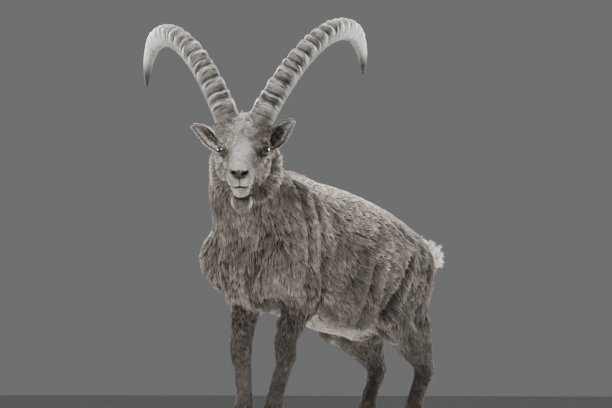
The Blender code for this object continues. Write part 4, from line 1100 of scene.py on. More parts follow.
@dataclass
class Unwrap:
    """Where any place of the skin lies on a flat layout of the skin's own shape."""

    skin: bpy.types.Object
    coarse: float = 0.014
    trees: BVHTree = None
    triangles: Array = None
    points: Array = None
    flat: Array = None

    def build(self) -> None:
        """Unwraps a coarse copy of the skin and keeps its triangles."""
        copy = bpy.data.objects.new("layout", self.skin.data.copy())
        bpy.context.scene.collection.objects.link(copy)
        apply(copy, "REMESH", mode="VOXEL", voxel_size=self.coarse)
        apply(copy, "TRIANGULATE")
        activate(copy)
        bpy.ops.object.mode_set(mode="EDIT")
        bpy.ops.mesh.select_all(action="SELECT")
        bpy.ops.uv.smart_project(angle_limit=math.radians(66), island_margin=0.004)
        bpy.ops.object.mode_set(mode="OBJECT")
        mesh = copy.data
        corners = np.zeros(len(mesh.loops), np.int32)
        mesh.loops.foreach_get("vertex_index", corners)
        self.triangles = corners.reshape(-1, 3)
        self.points = positions(copy)
        flat = np.zeros(len(mesh.loops) * 2, np.float32)
        mesh.uv_layers.active.uv.foreach_get("vector", flat)
        self.flat = flat.reshape(-1, 3, 2)
        self.trees = BVHTree.FromPolygons(self.points.tolist(), self.triangles.tolist())
        bpy.data.objects.remove(copy)

    def __call__(self, points: Array) -> Array:
        """The layout's u and v under rows of x, y, z."""
        found = [self.trees.find_nearest(p) for p in points.tolist()]
        faces = np.array([f[2] for f in found])
        spots = np.array([tuple(f[0]) for f in found])
        a, b, c = (self.points[self.triangles[faces, i]] for i in range(3))
        ab, ac, ap = b - a, c - a, spots - a
        d = [(ab * ab).sum(1), (ab * ac).sum(1), (ac * ac).sum(1), (ap * ab).sum(1), (ap * ac).sum(1)]
        low = np.maximum(d[0] * d[2] - d[1] ** 2, 1e-18)
        v = np.clip((d[2] * d[3] - d[1] * d[4]) / low, 0, 1)
        w = np.clip((d[0] * d[4] - d[1] * d[3]) / low, 0, 1)
        share = np.stack([1 - v - w, v, w], 1)
        return (self.flat[faces] * share[..., None]).sum(1)


@dataclass
class Tufts:
    """A batch of tufts: one row of each array for each tuft."""

    root: Array
    outward: Array
    way: Array
    length: Array
    width: Array
    lift: Array
    clump: Array
    curl: Array
    colour: Array
    layout: Array
    clump_size: float = 0.016
    stations: tuple[float, ...] = (0.0, 0.34, 0.70)
    patch: float = 0.003
    thick: float = 0.30
    # Painted shade darkens each tuft towards its root, and a painted highlight brightens it towards its
    # tip.
    painted_root_shade: float = 0.34
    painted_tip_highlight: float = 1.65
    owner: Array = None

    def gathered(self, tips: Array, rng: np.random.Generator) -> Array:
        """How far each tip moves to join the tips of its clump."""
        count = max(4, int(len(self.root) * 0.075))
        heads = rng.choice(len(self.root), size=min(count, len(self.root)), replace=False)
        tree = kdtree.KDTree(len(heads))
        for i, head in enumerate(heads):
            tree.insert(self.root[head], i)
        tree.balance()
        near = [tree.find(p) for p in self.root.tolist()]
        owner = heads[np.array([n[1] for n in near])]
        apart = np.array([n[2] for n in near])
        reach = np.exp(-((apart / (1.6 * self.clump_size)) ** 2))
        self.owner = owner
        pull = (tips[owner] - tips) * (self.clump * reach)[:, None]
        far = np.linalg.norm(pull, axis=1, keepdims=True)
        return pull * np.minimum(1.0, 0.55 * self.length[:, None] / np.maximum(far, 1e-6))

    def build(self, name: str, rng: np.random.Generator) -> bpy.types.Object:
        """Makes the batch as one mesh of closed, three-sided tapered tufts.

        Args:
            name: the piece's name.
            rng: the seeded draw.

        Returns:
            The object, with its colours and its two maps.
        """
        n = len(self.root)
        across = units(np.cross(self.way, self.outward))
        swing = rng.normal(size=n) * 0.12
        way = units(self.way + across * swing[:, None])
        across = units(np.cross(way, self.outward))
        curl = rng.normal(size=n) * self.curl
        phase = rng.uniform(0, 2 * math.pi, n)
        size = self.length[:, None]

        def centre(share: float) -> Array:
            """The middles of the tufts at a share of their length."""
            rise = self.lift * (1.55 * share - 0.62 * share**2)
            bend = curl * (np.sin(phase + 4.2 * share) - np.sin(phase))
            return (self.root - self.outward * 0.0012 * (1 - share) + way * size * share
                    + self.outward * size * rise[:, None] + across * size * bend[:, None])

        tips = centre(1.0)
        pull = self.gathered(tips, rng)
        rings, colours, lay = [], [], []
        brush = rng.uniform(0, 40, n)
        shade = np.exp(rng.normal(size=n) * 0.22 + 0.15 * rng.normal(size=n)[self.owner])
        for share in self.stations:
            middle = centre(share) + pull * share**1.6
            half = self.width * (1.0, 0.98, 0.62)[min(2, int(share * 3))] / 2
            top = self.outward * (half * self.thick * 2)[:, None]
            rings += [middle - across * half[:, None], middle + top, middle + across * half[:, None]]
            # Painted shade at the root, and a painted highlight growing towards the tip.
            strength = (self.painted_root_shade + (1.0 - self.painted_root_shade) * ramp(share, 0.0, 0.45)) * shade
            strength = strength * (1 + (self.painted_tip_highlight - 1) * share**2)
            colours += [self.colour * strength[:, None]] * 3
            for side in (0.0, 0.5, 1.0):
                lay.append(np.stack([brush + side, brush + share * 3.0], 1))
        # The tip point carries the full painted highlight.
        rings.append(tips + pull)
        colours.append(self.colour * (self.painted_tip_highlight * shade)[:, None])
        lay.append(np.stack([brush + 0.5, brush + 3.0], 1))
        per = len(rings)
        points = np.stack(rings, 1).reshape(-1, 3)
        rows = len(self.stations)
        faces = [(0, 2, 1)]
        for row in range(rows - 1):
            for i in range(3):
                j = (i + 1) % 3
                a, b, c, d = row * 3 + i, row * 3 + j, row * 3 + 3 + j, row * 3 + 3 + i
                faces += [(a, b, c), (a, c, d)]
        top = (rows - 1) * 3
        faces += [(top + i, top + (i + 1) % 3, per - 1) for i in range(3)]
        all_faces = (np.array(faces)[None] + (np.arange(n) * per)[:, None, None]).reshape(-1, 3)
        made = raw_object(name, points, all_faces)
        keep_colour(made, "marking", np.clip(np.stack(colours, 1).reshape(-1, 3), 0, 0.86))
        u = np.array([0.0, 0.5, 1.0] * rows + [0.5])
        v = np.array([s for s in self.stations for _ in range(3)] + [1.0])
        spread = (np.stack([u, v], 1) - 0.5) * self.patch
        keep_map(made, "OFBake", (self.layout[:, None] + spread[None]).reshape(-1, 2))
        keep_map(made, "Lay", np.stack(lay, 1).reshape(-1, 2))
        return made


@dataclass
class Coat:
    """All the tufts that grow from the skin, in pieces by region."""

    plan: CoatPlan
    skin: Skin
    layout: Unwrap
    horns: "Horns"
    spacing: float = 0.0045
    seed: int = 11
    budget: int = 190000
    fewest: int = 30
    coronet: float = 0.027

    def roots(self, rng: np.random.Generator) -> tuple[Array, Array]:
        """Even random places on the skin, closer where the hair is short.

        Returns:
            Rows of places and of outward directions.
        """
        obj = self.skin.piece
        points, outward = positions(obj), normals(obj)
        corners = np.zeros(len(obj.data.loops), np.int32)
        obj.data.loops.foreach_get("vertex_index", corners)
        tris = corners.reshape(-1, 3)
        a, b, c = (points[tris[:, i]] for i in range(3))
        area = np.linalg.norm(np.cross(b - a, c - a), axis=1) / 2
        middle = (a + b + c) / 3
        _, values = self.plan(middle)
        gap = self.spacing * (0.58 + 0.42 * ramp(values[:, 0], 0.006, 0.028))
        wanted = area / gap**2
        count = rng.poisson(wanted)
        pick = np.repeat(np.arange(len(tris)), count)
        u, v = rng.random(len(pick)), rng.random(len(pick))
        flip = u + v > 1
        u[flip], v[flip] = 1 - u[flip], 1 - v[flip]
        spots = a[pick] + u[:, None] * (b - a)[pick] + v[:, None] * (c - a)[pick]
        ways = units(outward[tris[pick, 0]] * (1 - u - v)[:, None] + outward[tris[pick, 1]] * u[:, None]
                     + outward[tris[pick, 2]] * v[:, None])
        hidden = self.skin.bare[tris[pick]].mean(1) > 0.35
        for sign in SIDES.values():
            apart = np.linalg.norm(spots - HEAD.eye_at(sign), axis=1)
            hidden |= apart < self.skin.eye_radius + 0.0030
        hidden |= self.horns.covers(spots)
        hidden |= spots[:, 2] < self.coronet
        return spots[~hidden], ways[~hidden]

    def build(self) -> None:
        """Grows the coat and splits it into pieces."""
        rng = np.random.default_rng(self.seed)
        spots, outward = self.roots(rng)
        way, values = self.plan(spots)
        way = units(way - outward * (way * outward).sum(1)[:, None])
        way = units(way + np.cross(way, outward) * (0.16 * self.plan.sway(spots))[:, None])
        length = values[:, 0] * rng.uniform(0.75, 1.15, len(spots))
        width = 0.0015 + 0.078 * np.minimum(values[:, 0], 0.034)
        colour = self.plan.marking(spots, values, outward)
        layout = self.layout(spots)
        material = CoatFinish().material()
        plan = spots - SHIFT
        head = HEAD.local(spots)
        is_head = values[:, 5] > 0.5
        along, high = plan[:, 1], plan[:, 2]
        low = high < 0.36
        side = np.where(np.where(is_head, head[:, 2], plan[:, 0]) > 0, "left", "right")
        band = np.select(
            [is_head & (head[:, 0] > 0.02), is_head, low & (along < 0.1) & (high < 0.345),
             low & (along > 0.26), along < -0.17, along < 0.02, along < 0.20, along < 0.38],
            ["face", "brow", "foreleg", "hindleg", "chest", "shoulder", "ribs", "flank"], "rump")
        for part in sorted(set(band)):
            for which in SIDES:
                pick = np.nonzero((band == part) & (side == which))[0]
                if len(pick) < self.fewest:
                    continue
                short = part in ("face", "foreleg", "hindleg")
                stations = (0.0, 0.55) if short else (0.0, 0.34, 0.70)
                faces_each = 6 * len(stations) - 2
                if len(pick) * faces_each > self.budget:
                    LOG.warning("%s %s: %d tufts thinned", part, which, len(pick))
                    pick = rng.choice(pick, self.budget // faces_each, replace=False)
                # Painted root shade and tip highlight, both weaker on short hair.
                batch = Tufts(
                    spots[pick], outward[pick], way[pick], length[pick], width[pick], values[pick, 3],
                    values[pick, 2], values[pick, 4], colour[pick], layout[pick], stations=stations,
                    clump_size=0.007 if short else 0.017, painted_root_shade=0.46 if short else 0.24,
                    painted_tip_highlight=1.45 if short else 1.75,
                )
                dress(batch.build(f"coat_{part}_{which}", rng), material, "coat")


@dataclass
class Horns:
    """The two great horns, ridged across the front, over the solids' curves."""

    length: float = 0.817
    width: float = 0.0350
    depth: float = 0.0475
    blunt: float = 0.46
    within: float = 0.985
    foot: float = 0.036
    ridges: int = 18
    ridged_from: float = 0.006
    ridged_over: float = 0.77
    rows: int = 520
    around: int = 56
    shapes: dict = field(default_factory=lambda: {
        "left": {"base": (-0.042, 0.077, 0.0485), "lean": 25.0, "splay": 27.6,
                 "twist": 14.6, "turn": 121.8, "gather": 0.44},
        "right": {"base": (-0.046, 0.076, 0.0475), "lean": 28.4, "splay": 21.2,
                  "twist": 20.8, "turn": 124.7, "gather": 0.15},
    })

    def line(self, side: str, count: int) -> tuple[Array, Array, Array, Array]:
        """A horn's middle line: places, directions, the way its front looks, and shares of its length."""
        shape, sign = self.shapes[side], SIDES[side]
        forward, up, left = HEAD.axes
        lean, splay, twist, turn = (math.radians(shape[k]) for k in ("lean", "splay", "twist", "turn"))
        rise = math.cos(lean) * up - math.sin(lean) * forward
        start = math.cos(splay) * rise + math.sin(splay) * sign * left
        base = HEAD.point(shape["base"][0], shape["base"][1], sign * shape["base"][2])
        back = -(math.cos(lean) * forward + math.sin(lean) * up)
        out = np.cross(start, back)
        out = out * np.sign(out @ (sign * left))
        bend = math.cos(twist) * back + math.sin(twist) * out
        bend = unit(bend - start * (bend @ start))
        share = np.linspace(0.0, 1.0, count)
        angle = turn * (share + shape["gather"] * (3 * share**2 - 2 * share**3 - share))
        heading = np.cos(angle)[:, None] * start + np.sin(angle)[:, None] * bend
        facing = np.sin(angle)[:, None] * start - np.cos(angle)[:, None] * bend
        steps = (heading[1:] + heading[:-1]) / 2 * self.length / (count - 1)
        return base + np.vstack([np.zeros(3), np.cumsum(steps, 0)]), heading, facing, share

    def covers(self, points: Array) -> Array:
        """Which places lie inside the foot of a horn."""
        hidden = np.zeros(len(points), bool)
        for side in SIDES:
            line, _, _, _ = self.line(side, 200)
            for middle in line[0:40:4]:
                hidden |= np.linalg.norm(points - middle, axis=1) < self.foot
        return hidden

    def build(self) -> None:
        """Makes both horns and dresses them."""
        material = HornFinish().material()
        for side in SIDES:
            made = self.horn(side)
            dress(made, material, "horn", "horn_" + side)

    def ridge_profile(self, at: Array) -> tuple[Array, Array]:
        """The height of the front ridges along a horn, and how deep in a groove each place is."""
        number = np.arange(self.ridges + 1)
        spread = ((number + 0.26 * np.sin(2.1 * number)) / self.ridges) ** 0.94
        starts = self.ridged_from + self.ridged_over * spread
        found = np.clip(np.searchsorted(starts, at, side="right") - 1, 0, self.ridges - 1)
        phase = np.clip((at - starts[found]) / (starts[found + 1] - starts[found]), 0.0, 1.0)
        height = np.where(phase < 0.62, ramp(phase, 0.12, 0.62), 1 - ramp(phase, 0.72, 0.98))
        height = height * (at > self.ridged_from) * (1 - ramp(at, 0.74, 0.79))
        groove = swell(phase, 0.02, 0.12) + swell(phase, 1.02, 0.12)
        return height, np.clip(groove, 0, 1) * (at > 0.01) * (1 - ramp(at, 0.74, 0.80))

    def horn(self, side: str) -> bpy.types.Object:
        """One horn as a closed mesh with its own map and values."""
        line, heading, facing, share = self.line(side, 900)
        rooted = [-0.022 / self.length, -0.008 / self.length]
        at = np.concatenate([rooted, np.linspace(0, 0.997, self.rows) ** 0.96])
        rng = np.random.default_rng(21 if side == "left" else 22)
        worn = Ripple(31 if side == "left" else 32, 0.02)
        turn = 2 * math.pi * (np.arange(self.around) + 0.5) / self.around
        c, s = np.cos(turn), np.sin(turn)
        squared = (np.abs(c) ** 2.6 + np.abs(s) ** 2.6) ** (-1 / 2.6)
        narrow = 1.0 - 0.24 * np.maximum(0.0, -c) ** 1.5
        frontness = np.maximum(0.0, c) ** 0.7 + 0.35 * (1 - np.abs(c))
        uneven = rng.uniform(0.8, 1.1, 64)
        points, lay, groove, crest, under, point, upper = [], [], [], [], [], [], []
        for place_at in at:
            clamped = max(place_at, 0.0)
            middle = np.array([np.interp(clamped, share, line[:, i]) for i in range(3)])
            ahead = unit([np.interp(clamped, share, heading[:, i]) for i in range(3)])
            front = unit([np.interp(clamped, share, facing[:, i]) for i in range(3)])
            middle = middle + ahead * min(place_at, 0.0) * self.length - front * 0.003
            side_way = np.cross(ahead, front)
            taper = (1 - clamped) ** self.blunt * self.within
            wide = self.width * taper * (1 - 0.10 * clamped)
            deep = self.depth * taper
            skew = 0.010 * np.abs(s)
            height, deep_in = self.ridge_profile(np.maximum(clamped - skew * 0.6, 0))
            number = int(np.clip((clamped - self.ridged_from) / self.ridged_over, 0, 1) * self.ridges)
            lift = (height * uneven[number] * 0.0064 - deep_in * 0.0022) * min(1.0, 0.55 + 1.3 * clamped)
            lift = lift * (1 - clamped * 0.35)
            raised = lift * frontness
            ring = (middle + front * (c * squared * deep + raised)[:, None]
                    + side_way * (s * squared * wide * narrow + np.sign(s) * raised * 0.25)[:, None])
            ring = ring + (ring - middle) * (0.010 * worn(ring))[:, None]
            points.append(ring)
            along = np.full(self.around, clamped)
            lay.append(np.stack([np.arange(self.around) / self.around * 0.30, along * self.length], 1))
            front_share = ramp(frontness, 0.25, 0.8)
            # groove and under hold painted shade, for the grooves and for the back of the horn that faces
            # down as it arches.
            groove.append(deep_in * (0.25 + 0.75 * front_share))
            crest.append(height**3 * front_share)
            under.append(ramp(-c, 0.35, 0.9) * (0.4 + 0.6 * ramp(along, 0.2, 0.7)))
            point.append(ramp(along, 0.82, 0.94))
            upper.append(ramp(along, 0.40, 0.68))
        rings = np.array(points)
        flat = np.vstack([rings.reshape(-1, 3), rings[0].mean(0), line[-1]])
        index, quads = tube(len(rings), self.around)
        after = np.roll(index, -1, axis=1)
        tris = np.vstack([quads[:, [0, 1, 2]], quads[:, [0, 2, 3]]])
        last = len(flat) - 1
        caps = [(index[-1, i], after[-1, i], last) for i in range(self.around)]
        caps += [(after[0, i], index[0, i], last - 1) for i in range(self.around)]
        made = raw_object(f"horn_{side}_ridged", flat, np.vstack([tris, np.array(caps)]))
        face_outwards(made)
        kept = {"groove": groove, "crest": crest, "under": under, "point": point, "upper": upper}
        for name, values in kept.items():
            at_point = 1.0 if name in ("point", "upper") else 0.0
            keep_value(made, name, np.concatenate([np.concatenate(values), [0.0, at_point]]))
        keep_map(made, "HornLay", np.vstack([np.concatenate(lay), [(0, 0), (0.15, self.length)]]))
        return made


@dataclass
class Eyes:
    """Two round eyes with a level pupil, set in the lids."""

    skin: Skin

    def build(self) -> None:
        """Makes both eyes."""
        material = EyeFinish().material()
        for side, sign in SIDES.items():
            look = HEAD.toward(self.skin.eye_looks, sign)
            high = unit(HEAD.axes[1] - look * (HEAD.axes[1] @ look))
            level = np.cross(high, look)
            deselect()
            bpy.ops.mesh.primitive_uv_sphere_add(segments=64, ring_count=40, radius=self.skin.eye_radius)
            ball = bpy.context.object
            ball.name = ball.data.name = f"eye_{side}_ball"
            points = positions(ball)
            axes = np.array([level, high, look])
            bulge = 1 + 0.035 * ramp(points[:, 2] / self.skin.eye_radius, 0.72, 0.95)
            local = points / self.skin.eye_radius
            move_points(ball, HEAD.eye_at(sign) + (points * bulge[:, None] * 0.985) @ axes)
            keep_value(ball, "eye_across", local[:, 0])
            keep_value(ball, "eye_up", local[:, 1])
            keep_value(ball, "eye_far", np.where(local[:, 2] > 0, np.hypot(local[:, 0], local[:, 1]), 1.2))
            for layer in list(ball.data.uv_layers):
                ball.data.uv_layers.remove(layer)
            turn = np.arctan2(local[:, 1], local[:, 0])
            keep_map(ball, "EyeLay", np.stack([np.cos(turn), np.sin(turn)], 1) * 3)
            dress(ball, material, "eye", "eye_" + side)


@dataclass
class Hooves:
    """Cloven hooves and dewclaws, rounded over the solids' forms."""

    bevel: float = 0.0016

    def build(self) -> None:
        """Rounds and dresses every hoof and dewclaw."""
        material = HoofFinish().material()
        for kind in ("hoof", "dewclaw"):
            for leg in LEG_NAMES:
                for toe in ("outer", "inner"):
                    node = f"{kind}_{leg}_{toe}"
                    made = solid_copy(node)
                    made.name = made.data.name = node + "_horn"
                    apply(made, "BEVEL", width=self.bevel, segments=2, limit_method="ANGLE",
                          angle_limit=math.radians(35))
                    apply(made, "SUBSURF", levels=1, render_levels=1, subdivision_type="SIMPLE")
                    apply(made, "SMOOTH", factor=0.35, iterations=2)
                    dress(made, material, "hoof", node)


@dataclass
class Ears:
    """Two cupped ears, short-haired outside, with a pale rim and long pale hair within, and painted shade
    deep in the cup.
    """

    plan: CoatPlan
    layout: Unwrap
    root: tuple[float, float, float] = (-0.056, -0.018, 0.062)
    opens: tuple[float, float, float] = (0.80, -0.35, 0.30)
    length: float = 0.118
    curl: float = 0.018
    deep: float = 0.75
    wall: float = 0.0032
    across: int = 40
    aims: dict = field(default_factory=lambda: {"left": (-0.30, 0.70, 0.57), "right": (-0.25, 0.64, 0.72)})
    outline: tuple = (
        (-0.10, 0.0125, 120.0), (0.04, 0.0150, 118.0), (0.14, 0.0200, 112.0), (0.28, 0.0280, 104.0),
        (0.45, 0.0325, 95.0), (0.62, 0.0300, 82.0), (0.78, 0.0240, 74.0), (0.90, 0.0150, 70.0),
        (0.97, 0.0085, 70.0), (0.998, 0.0030, 70.0),
    )

    def frame_of(self, side: str) -> tuple[Array, Array, Array, Array]:
        """An ear's root, the way it points, the way its cup opens, and across it."""
        sign = SIDES[side]
        root = HEAD.point(self.root[0], self.root[1], sign * self.root[2])
        aim = HEAD.toward(self.aims[side], sign)
        opens = HEAD.toward(self.opens, sign)
        opens = unit(opens - aim * (opens @ aim))
        return root, aim, opens, np.cross(aim, opens)

    def surface(self, side: str, share: Array, turn: Array, inner: float = 0.0) -> Array:
        """Places on the ear's shell.

        Args:
            side: left or right.
            share: along the ear, root to tip.
            turn: -1 to 1 round the roll.
            inner: how far inwards of the outer face, in metres.

        Returns:
            Rows of x, y, z.
        """
        root, aim, opens, across = self.frame_of(side)
        rows = np.array(self.outline)
        wide = np.interp(share, rows[:, 0], rows[:, 1])
        half = np.radians(np.interp(share, rows[:, 0], rows[:, 2]))
        radius = wide / np.maximum(np.sin(np.minimum(half, math.pi / 2)), 0.3)
        angle = half * turn
        radius = np.maximum(radius - inner, radius * 0.3)
        toward_cup = self.curl * np.maximum(share, 0) ** 2 - radius * self.deep * np.cos(angle)
        return (root + aim * (self.length * share)[:, None] + opens * toward_cup[:, None]
                + across * (radius * np.sin(angle))[:, None])

    def build(self) -> None:
        """Makes each ear's shell and its hair."""
        rng = np.random.default_rng(41)
        hide, hair = SkinFinish().material(), CoatFinish(name="ear_hair").material()
        for side in SIDES:
            rows = np.concatenate([np.linspace(-0.10, 0.9, 30), [0.93, 0.955, 0.975, 0.99, 0.998]])
            turns = np.linspace(-1, 1, self.across)
            share, turn = np.meshgrid(rows, turns, indexing="ij")
            size = (len(rows), self.across, 3)
            outer = self.surface(side, share.ravel(), turn.ravel(), 0.0008).reshape(size)
            inner = self.surface(side, share.ravel(), turn.ravel() * 0.97, self.wall).reshape(size)
            rings = np.concatenate([outer, inner[:, ::-1]], 1)
            count = rings.shape[1]
            index, quads = tube(len(rows), count)
            caps = []
            for row, flip in ((0, True), (len(rows) - 1, False)):
                for i in range(self.across - 1):
                    quad = index[row, [i, i + 1, count - 2 - i, count - 1 - i]].tolist()
                    caps.append(quad[::-1] if flip else quad)
            made = raw_object(f"ear_{side}_shell", rings.reshape(-1, 3), np.vstack([quads, np.array(caps)]))
            face_outwards(made)
            inside = np.tile(np.arange(count) >= self.across, len(rows))
            along = np.repeat(rows, count)
            # Painted shade: inside the cup the shell is dark near the root and pales towards the tip.
            tone = np.where(inside, 0.35 + 1.6 * ramp(along, 0.30, 0.8), 0.95)[:, None]
            keep_colour(made, "marking", self.plan.colour * tone)
            keep_value(made, "wet", np.zeros(len(inside)))
            dress(made, hide, "coat")
            self.hair(side, rng, hair)

    def hair(self, side: str, rng: np.random.Generator, material: bpy.types.Material) -> None:
        """Grows an ear's outer hair, rim and inner tufts."""
        root, aim, _, _ = self.frame_of(side)
        step = 0.004
        # The deep batch is hair darkened by painted shade in the middle of the cup.
        batches = (
            ("outer", 2600, (-0.02, 0.95), (-1.0, 1.0), 0.0012, 0.010, 1.05, 0.14, 0.0022),
            ("rim", 1700, (0.10, 0.965), (0.88, 1.0), 0.0022, 0.009, 3.0, 0.50, 0.0018),
            ("inner", 1700, (0.12, 0.93), (0.35, 0.97), 0.0030, 0.017, 2.6, 0.30, 0.0018),
            ("deep", 700, (0.05, 0.6), (-0.5, 0.5), 0.0030, 0.014, 0.45, 0.30, 0.0020),
        )
        for name, count, spans, turns, inner, length, tone, lift, width in batches:
            share = rng.uniform(*spans, count)
            turn = rng.uniform(*turns, count)
            if turns[0] > 0:
                turn = turn * rng.choice((-1.0, 1.0), count)
            spots = self.surface(side, share, turn, inner)
            ahead = units(self.surface(side, np.minimum(share + step, 0.997), turn, inner) - spots)
            aside = units(self.surface(side, share, turn + 0.01, inner) - spots)
            outward = units(np.cross(ahead, aside))
            middle = root + aim * (self.length * share)[:, None]
            facing = np.sign(((spots - middle) * outward).sum(1))
            outward = outward * np.where(facing == 0, 1, facing)[:, None]
            if name in ("inner", "deep"):
                outward = -outward
            way = ahead
            if name == "inner":
                way = units(ahead * 0.55 - aside * np.sign(turn)[:, None] * 0.8)
            if name == "rim":
                way = units(ahead * 0.8 + aside * np.sign(turn)[:, None] * 0.45)
            bright = tone * (1 + 0.10 * rng.normal(size=count))
            # Painted shade: inner hair darkens towards the middle of the cup.
            if name == "inner":
                bright = bright * (0.45 + 0.75 * ramp(np.abs(turn), 0.5, 0.95))
            colour = faded(self.plan.colour, bright)
            width, lift, clump, curl = (np.full(count, value) for value in (width, lift, 0.3, 0.1))
            # Ear hair: faint painted root shade and tip highlight.
            batch = Tufts(
                spots, outward, way, length * rng.uniform(0.7, 1.1, count), width, lift, clump, curl,
                colour, self.layout(spots), clump_size=0.006, stations=(0.0, 0.5), painted_root_shade=0.75,
                painted_tip_highlight=1.15,
            )
            dress(batch.build(f"ear_{side}_{name}", rng), material, "coat")


@dataclass(frozen=True)
class Locks:
    """What is the same for all locks of one batch."""

    name: str
    lift: float
    width: float
    clump: float
    # How strongly the painted highlight brightens the locks' tips.
    painted_tip_highlight: float


@dataclass
class LongHair:
    """The tail's tuft and the beard: long locks of many strands over a short core."""

    plan: CoatPlan
    layout: Unwrap
    seed: int = 51
    hair: bpy.types.Material = None

    def build(self) -> None:
        """Grows tail and beard."""
        rng = np.random.default_rng(self.seed)
        self.hair = CoatFinish(name="long_hair").material()
        self.tail(rng)
        self.beard(rng)

    def grow(
        self, locks: Locks, rng: np.random.Generator, spots: Array, outward: Array, way: Array,
        length: Array, tone: Array,
    ) -> None:
        """Makes one batch of long tufts."""
        constant = (locks.width, locks.lift, locks.clump, 0.10)
        width, lift, clump, curl = (np.full(len(spots), value) for value in constant)
        # Painted shade at the roots, and the batch's painted highlight at the tips.
        batch = Tufts(
            spots, outward, way, length, width, lift, clump, curl, faded(self.plan.colour, tone),
            self.layout(spots), clump_size=0.010, painted_root_shade=0.60, painted_tip_highlight=locks.painted_tip_highlight,
        )
        dress(batch.build(locks.name, rng), self.hair, "coat")

    def tail(self, rng: np.random.Generator) -> None:
        """A short white-edged tuft whose upper hair stands."""
        start, end = place((0, 0.585, 0.585)), place((0, 0.700, 0.546))
        count = 2600
        share = rng.uniform(0, 1, count) ** 0.85
        turn = rng.uniform(0, 2 * math.pi, count)
        along = unit(end - start)
        side = np.array([1.0, 0.0, 0.0])
        top = np.cross(side, along)
        top = top * np.sign(top[2])
        outward = side * np.sin(turn)[:, None] + top * np.cos(turn)[:, None]
        radius = 0.017 * np.sqrt(np.maximum(1 - (2 * share - 0.8) ** 2 / 2.0, 0.15))
        spots = start + (end - start) * share[:, None] + outward * (radius * 0.8)[:, None]
        upper = np.maximum(0, np.cos(turn))
        lower = np.maximum(0, -np.cos(turn))
        way = np.stack([0.28 * np.sin(turn), 0.86 - 0.15 * upper, -0.62 + 0.78 * upper - 0.2 * lower], 1)
        way = units(way + rng.normal(size=(count, 3)) * 0.20)
        length = rng.uniform(0.016, 0.040, count) * (1 + 0.30 * upper * rng.random(count))
        tone = 1.9 + 1.6 * ramp(np.abs(np.sin(turn)) + lower, 0.2, 0.9) - 0.3 * share
        locks = Locks("tail_tuft", lift=0.26, width=0.0030, clump=0.55, painted_tip_highlight=1.25)
        self.grow(locks, rng, spots, outward, way, length, tone)

    def beard(self, rng: np.random.Generator) -> None:
        """A short rounded beard, dark in its middle, with a painted highlight round its edge and at its
        back.
        """
        count = 3600
        turn = rng.uniform(0, 2 * math.pi, count)
        out = np.sqrt(rng.uniform(0, 1, count))
        high = -0.098 - 0.016 * (1 - out**2) - 0.010 * rng.uniform(0, 1, count) * out
        local = np.stack([0.114 + 0.021 * out * np.cos(turn), high, 0.0285 * out * np.sin(turn)], 1)
        spots = HEAD.centre + local @ HEAD.axes
        outward = np.stack([np.cos(turn) * out, np.full(count, -0.20), np.sin(turn) * out], 1)
        outward = units(outward) @ HEAD.axes
        way = np.stack([-0.10 + 0.10 * out * np.cos(turn), -np.ones(count), 0.02 * out * np.sin(turn)], 1)
        way = units(units(way) @ HEAD.axes + rng.normal(size=(count, 3)) * 0.05)
        length = rng.uniform(0.80, 1.05, count) * (0.038 - 0.015 * out**3)
        # Painted highlight: locks are brightened round the beard's edge and at its back, and strongly at
        # their tips.
        edge = ramp(np.abs(np.sin(turn)) * out, 0.62, 0.92)
        behind = ramp(-np.cos(turn) * out, 0.1, 0.7)
        tone = 0.34 + 1.0 * edge + 0.7 * behind
        locks = Locks("beard_tuft", lift=0.10, width=0.0026, clump=0.22, painted_tip_highlight=4.6)
        self.grow(locks, rng, spots, outward, way, length, tone)


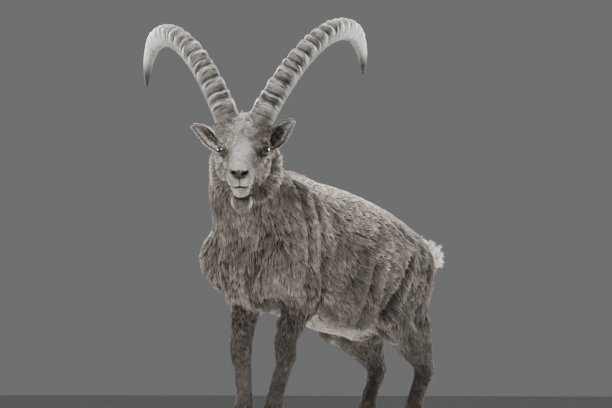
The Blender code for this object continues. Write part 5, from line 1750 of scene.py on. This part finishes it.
@dataclass
class Studio:
    """Pale floor, soft lights and the photograph's viewpoint."""

    azimuth: float = math.radians(40)
    pitch: float = math.radians(2.86)
    far: float = 10.859
    aside: float = 0.0495
    height: float = 0.15
    lens: float = 212.98

    def build(self) -> None:
        """Sets the stage."""
        self.floor()
        self.lights()
        self.camera()

    def floor(self) -> None:
        """A wide flat floor."""
        deselect()
        bpy.ops.mesh.primitive_plane_add(size=60.0, location=(0, 0, 0))
        ground = bpy.context.object
        ground.name = "floor"
        ground.data.materials.append(FloorFinish().material())

    def lights(self) -> None:
        """A broad sky above, a soft key from the front left and a rim from behind."""
        world = bpy.context.scene.world or bpy.data.worlds.new("studio")
        bpy.context.scene.world = world
        world.use_nodes = True
        back = world.node_tree.nodes["Background"]
        back.inputs[0].default_value = (0.50, 0.505, 0.51, 1)
        back.inputs[1].default_value = 0.32
        for name, at, aim, size, power in (
            ("sky", (-0.6, 0.9, 3.3), (0.0, 0.0, 0.6), 2.6, 150.0),
            ("key", (0.4, -3.2, 3.0), (0.1, -0.2, 0.7), 1.4, 160.0),
            ("rim_left", (-3.0, 0.9, 1.8), (0.0, 0.0, 0.7), 1.2, 290.0),
            ("rim_right", (0.5, 3.2, 1.8), (0.1, 0.1, 0.7), 1.2, 290.0),
        ):
            light = bpy.data.lights.new(name, "AREA")
            light.shape, light.size, light.energy = "DISK", size, power
            lamp = bpy.data.objects.new(name, light)
            bpy.context.scene.collection.objects.link(lamp)
            lamp.location = at
            lamp.rotation_euler = (Vector(aim) - Vector(at)).to_track_quat("-Z", "Y").to_euler()

    def camera(self) -> None:
        """The photograph's low, long view."""
        right = np.array([math.cos(self.azimuth), math.sin(self.azimuth), 0])
        toward = np.array([math.sin(self.azimuth), -math.cos(self.azimuth), 0])
        spot = place(toward * self.far + right * self.aside) + (0, 0, self.height)
        look = -toward * math.cos(self.pitch) + np.array([0, 0, math.sin(self.pitch)])
        data = bpy.data.cameras.new("viewpoint")
        data.sensor_width, data.lens = 36.0, self.lens
        data.clip_end = 100.0
        camera = bpy.data.objects.new("viewpoint", data)
        bpy.context.scene.collection.objects.link(camera)
        camera.location = spot
        camera.rotation_euler = Vector(look).to_track_quat("-Z", "Y").to_euler()
        bpy.context.scene.camera = camera


def main() -> None:
    """Builds the animal's looks and the studio."""
    logging.basicConfig(level=logging.INFO, format="%(name)s %(message)s")
    plan = CoatPlan()
    skin = Skin(plan)
    skin.build()
    layout = Unwrap(skin.piece)
    layout.build()
    horns = Horns()
    horns.build()
    Eyes(skin).build()
    Hooves().build()
    Ears(plan, layout).build()
    Coat(plan, skin, layout, horns).build()
    LongHair(plan, layout).build()
    Studio().build()


if __name__ == "__main__":
    main()
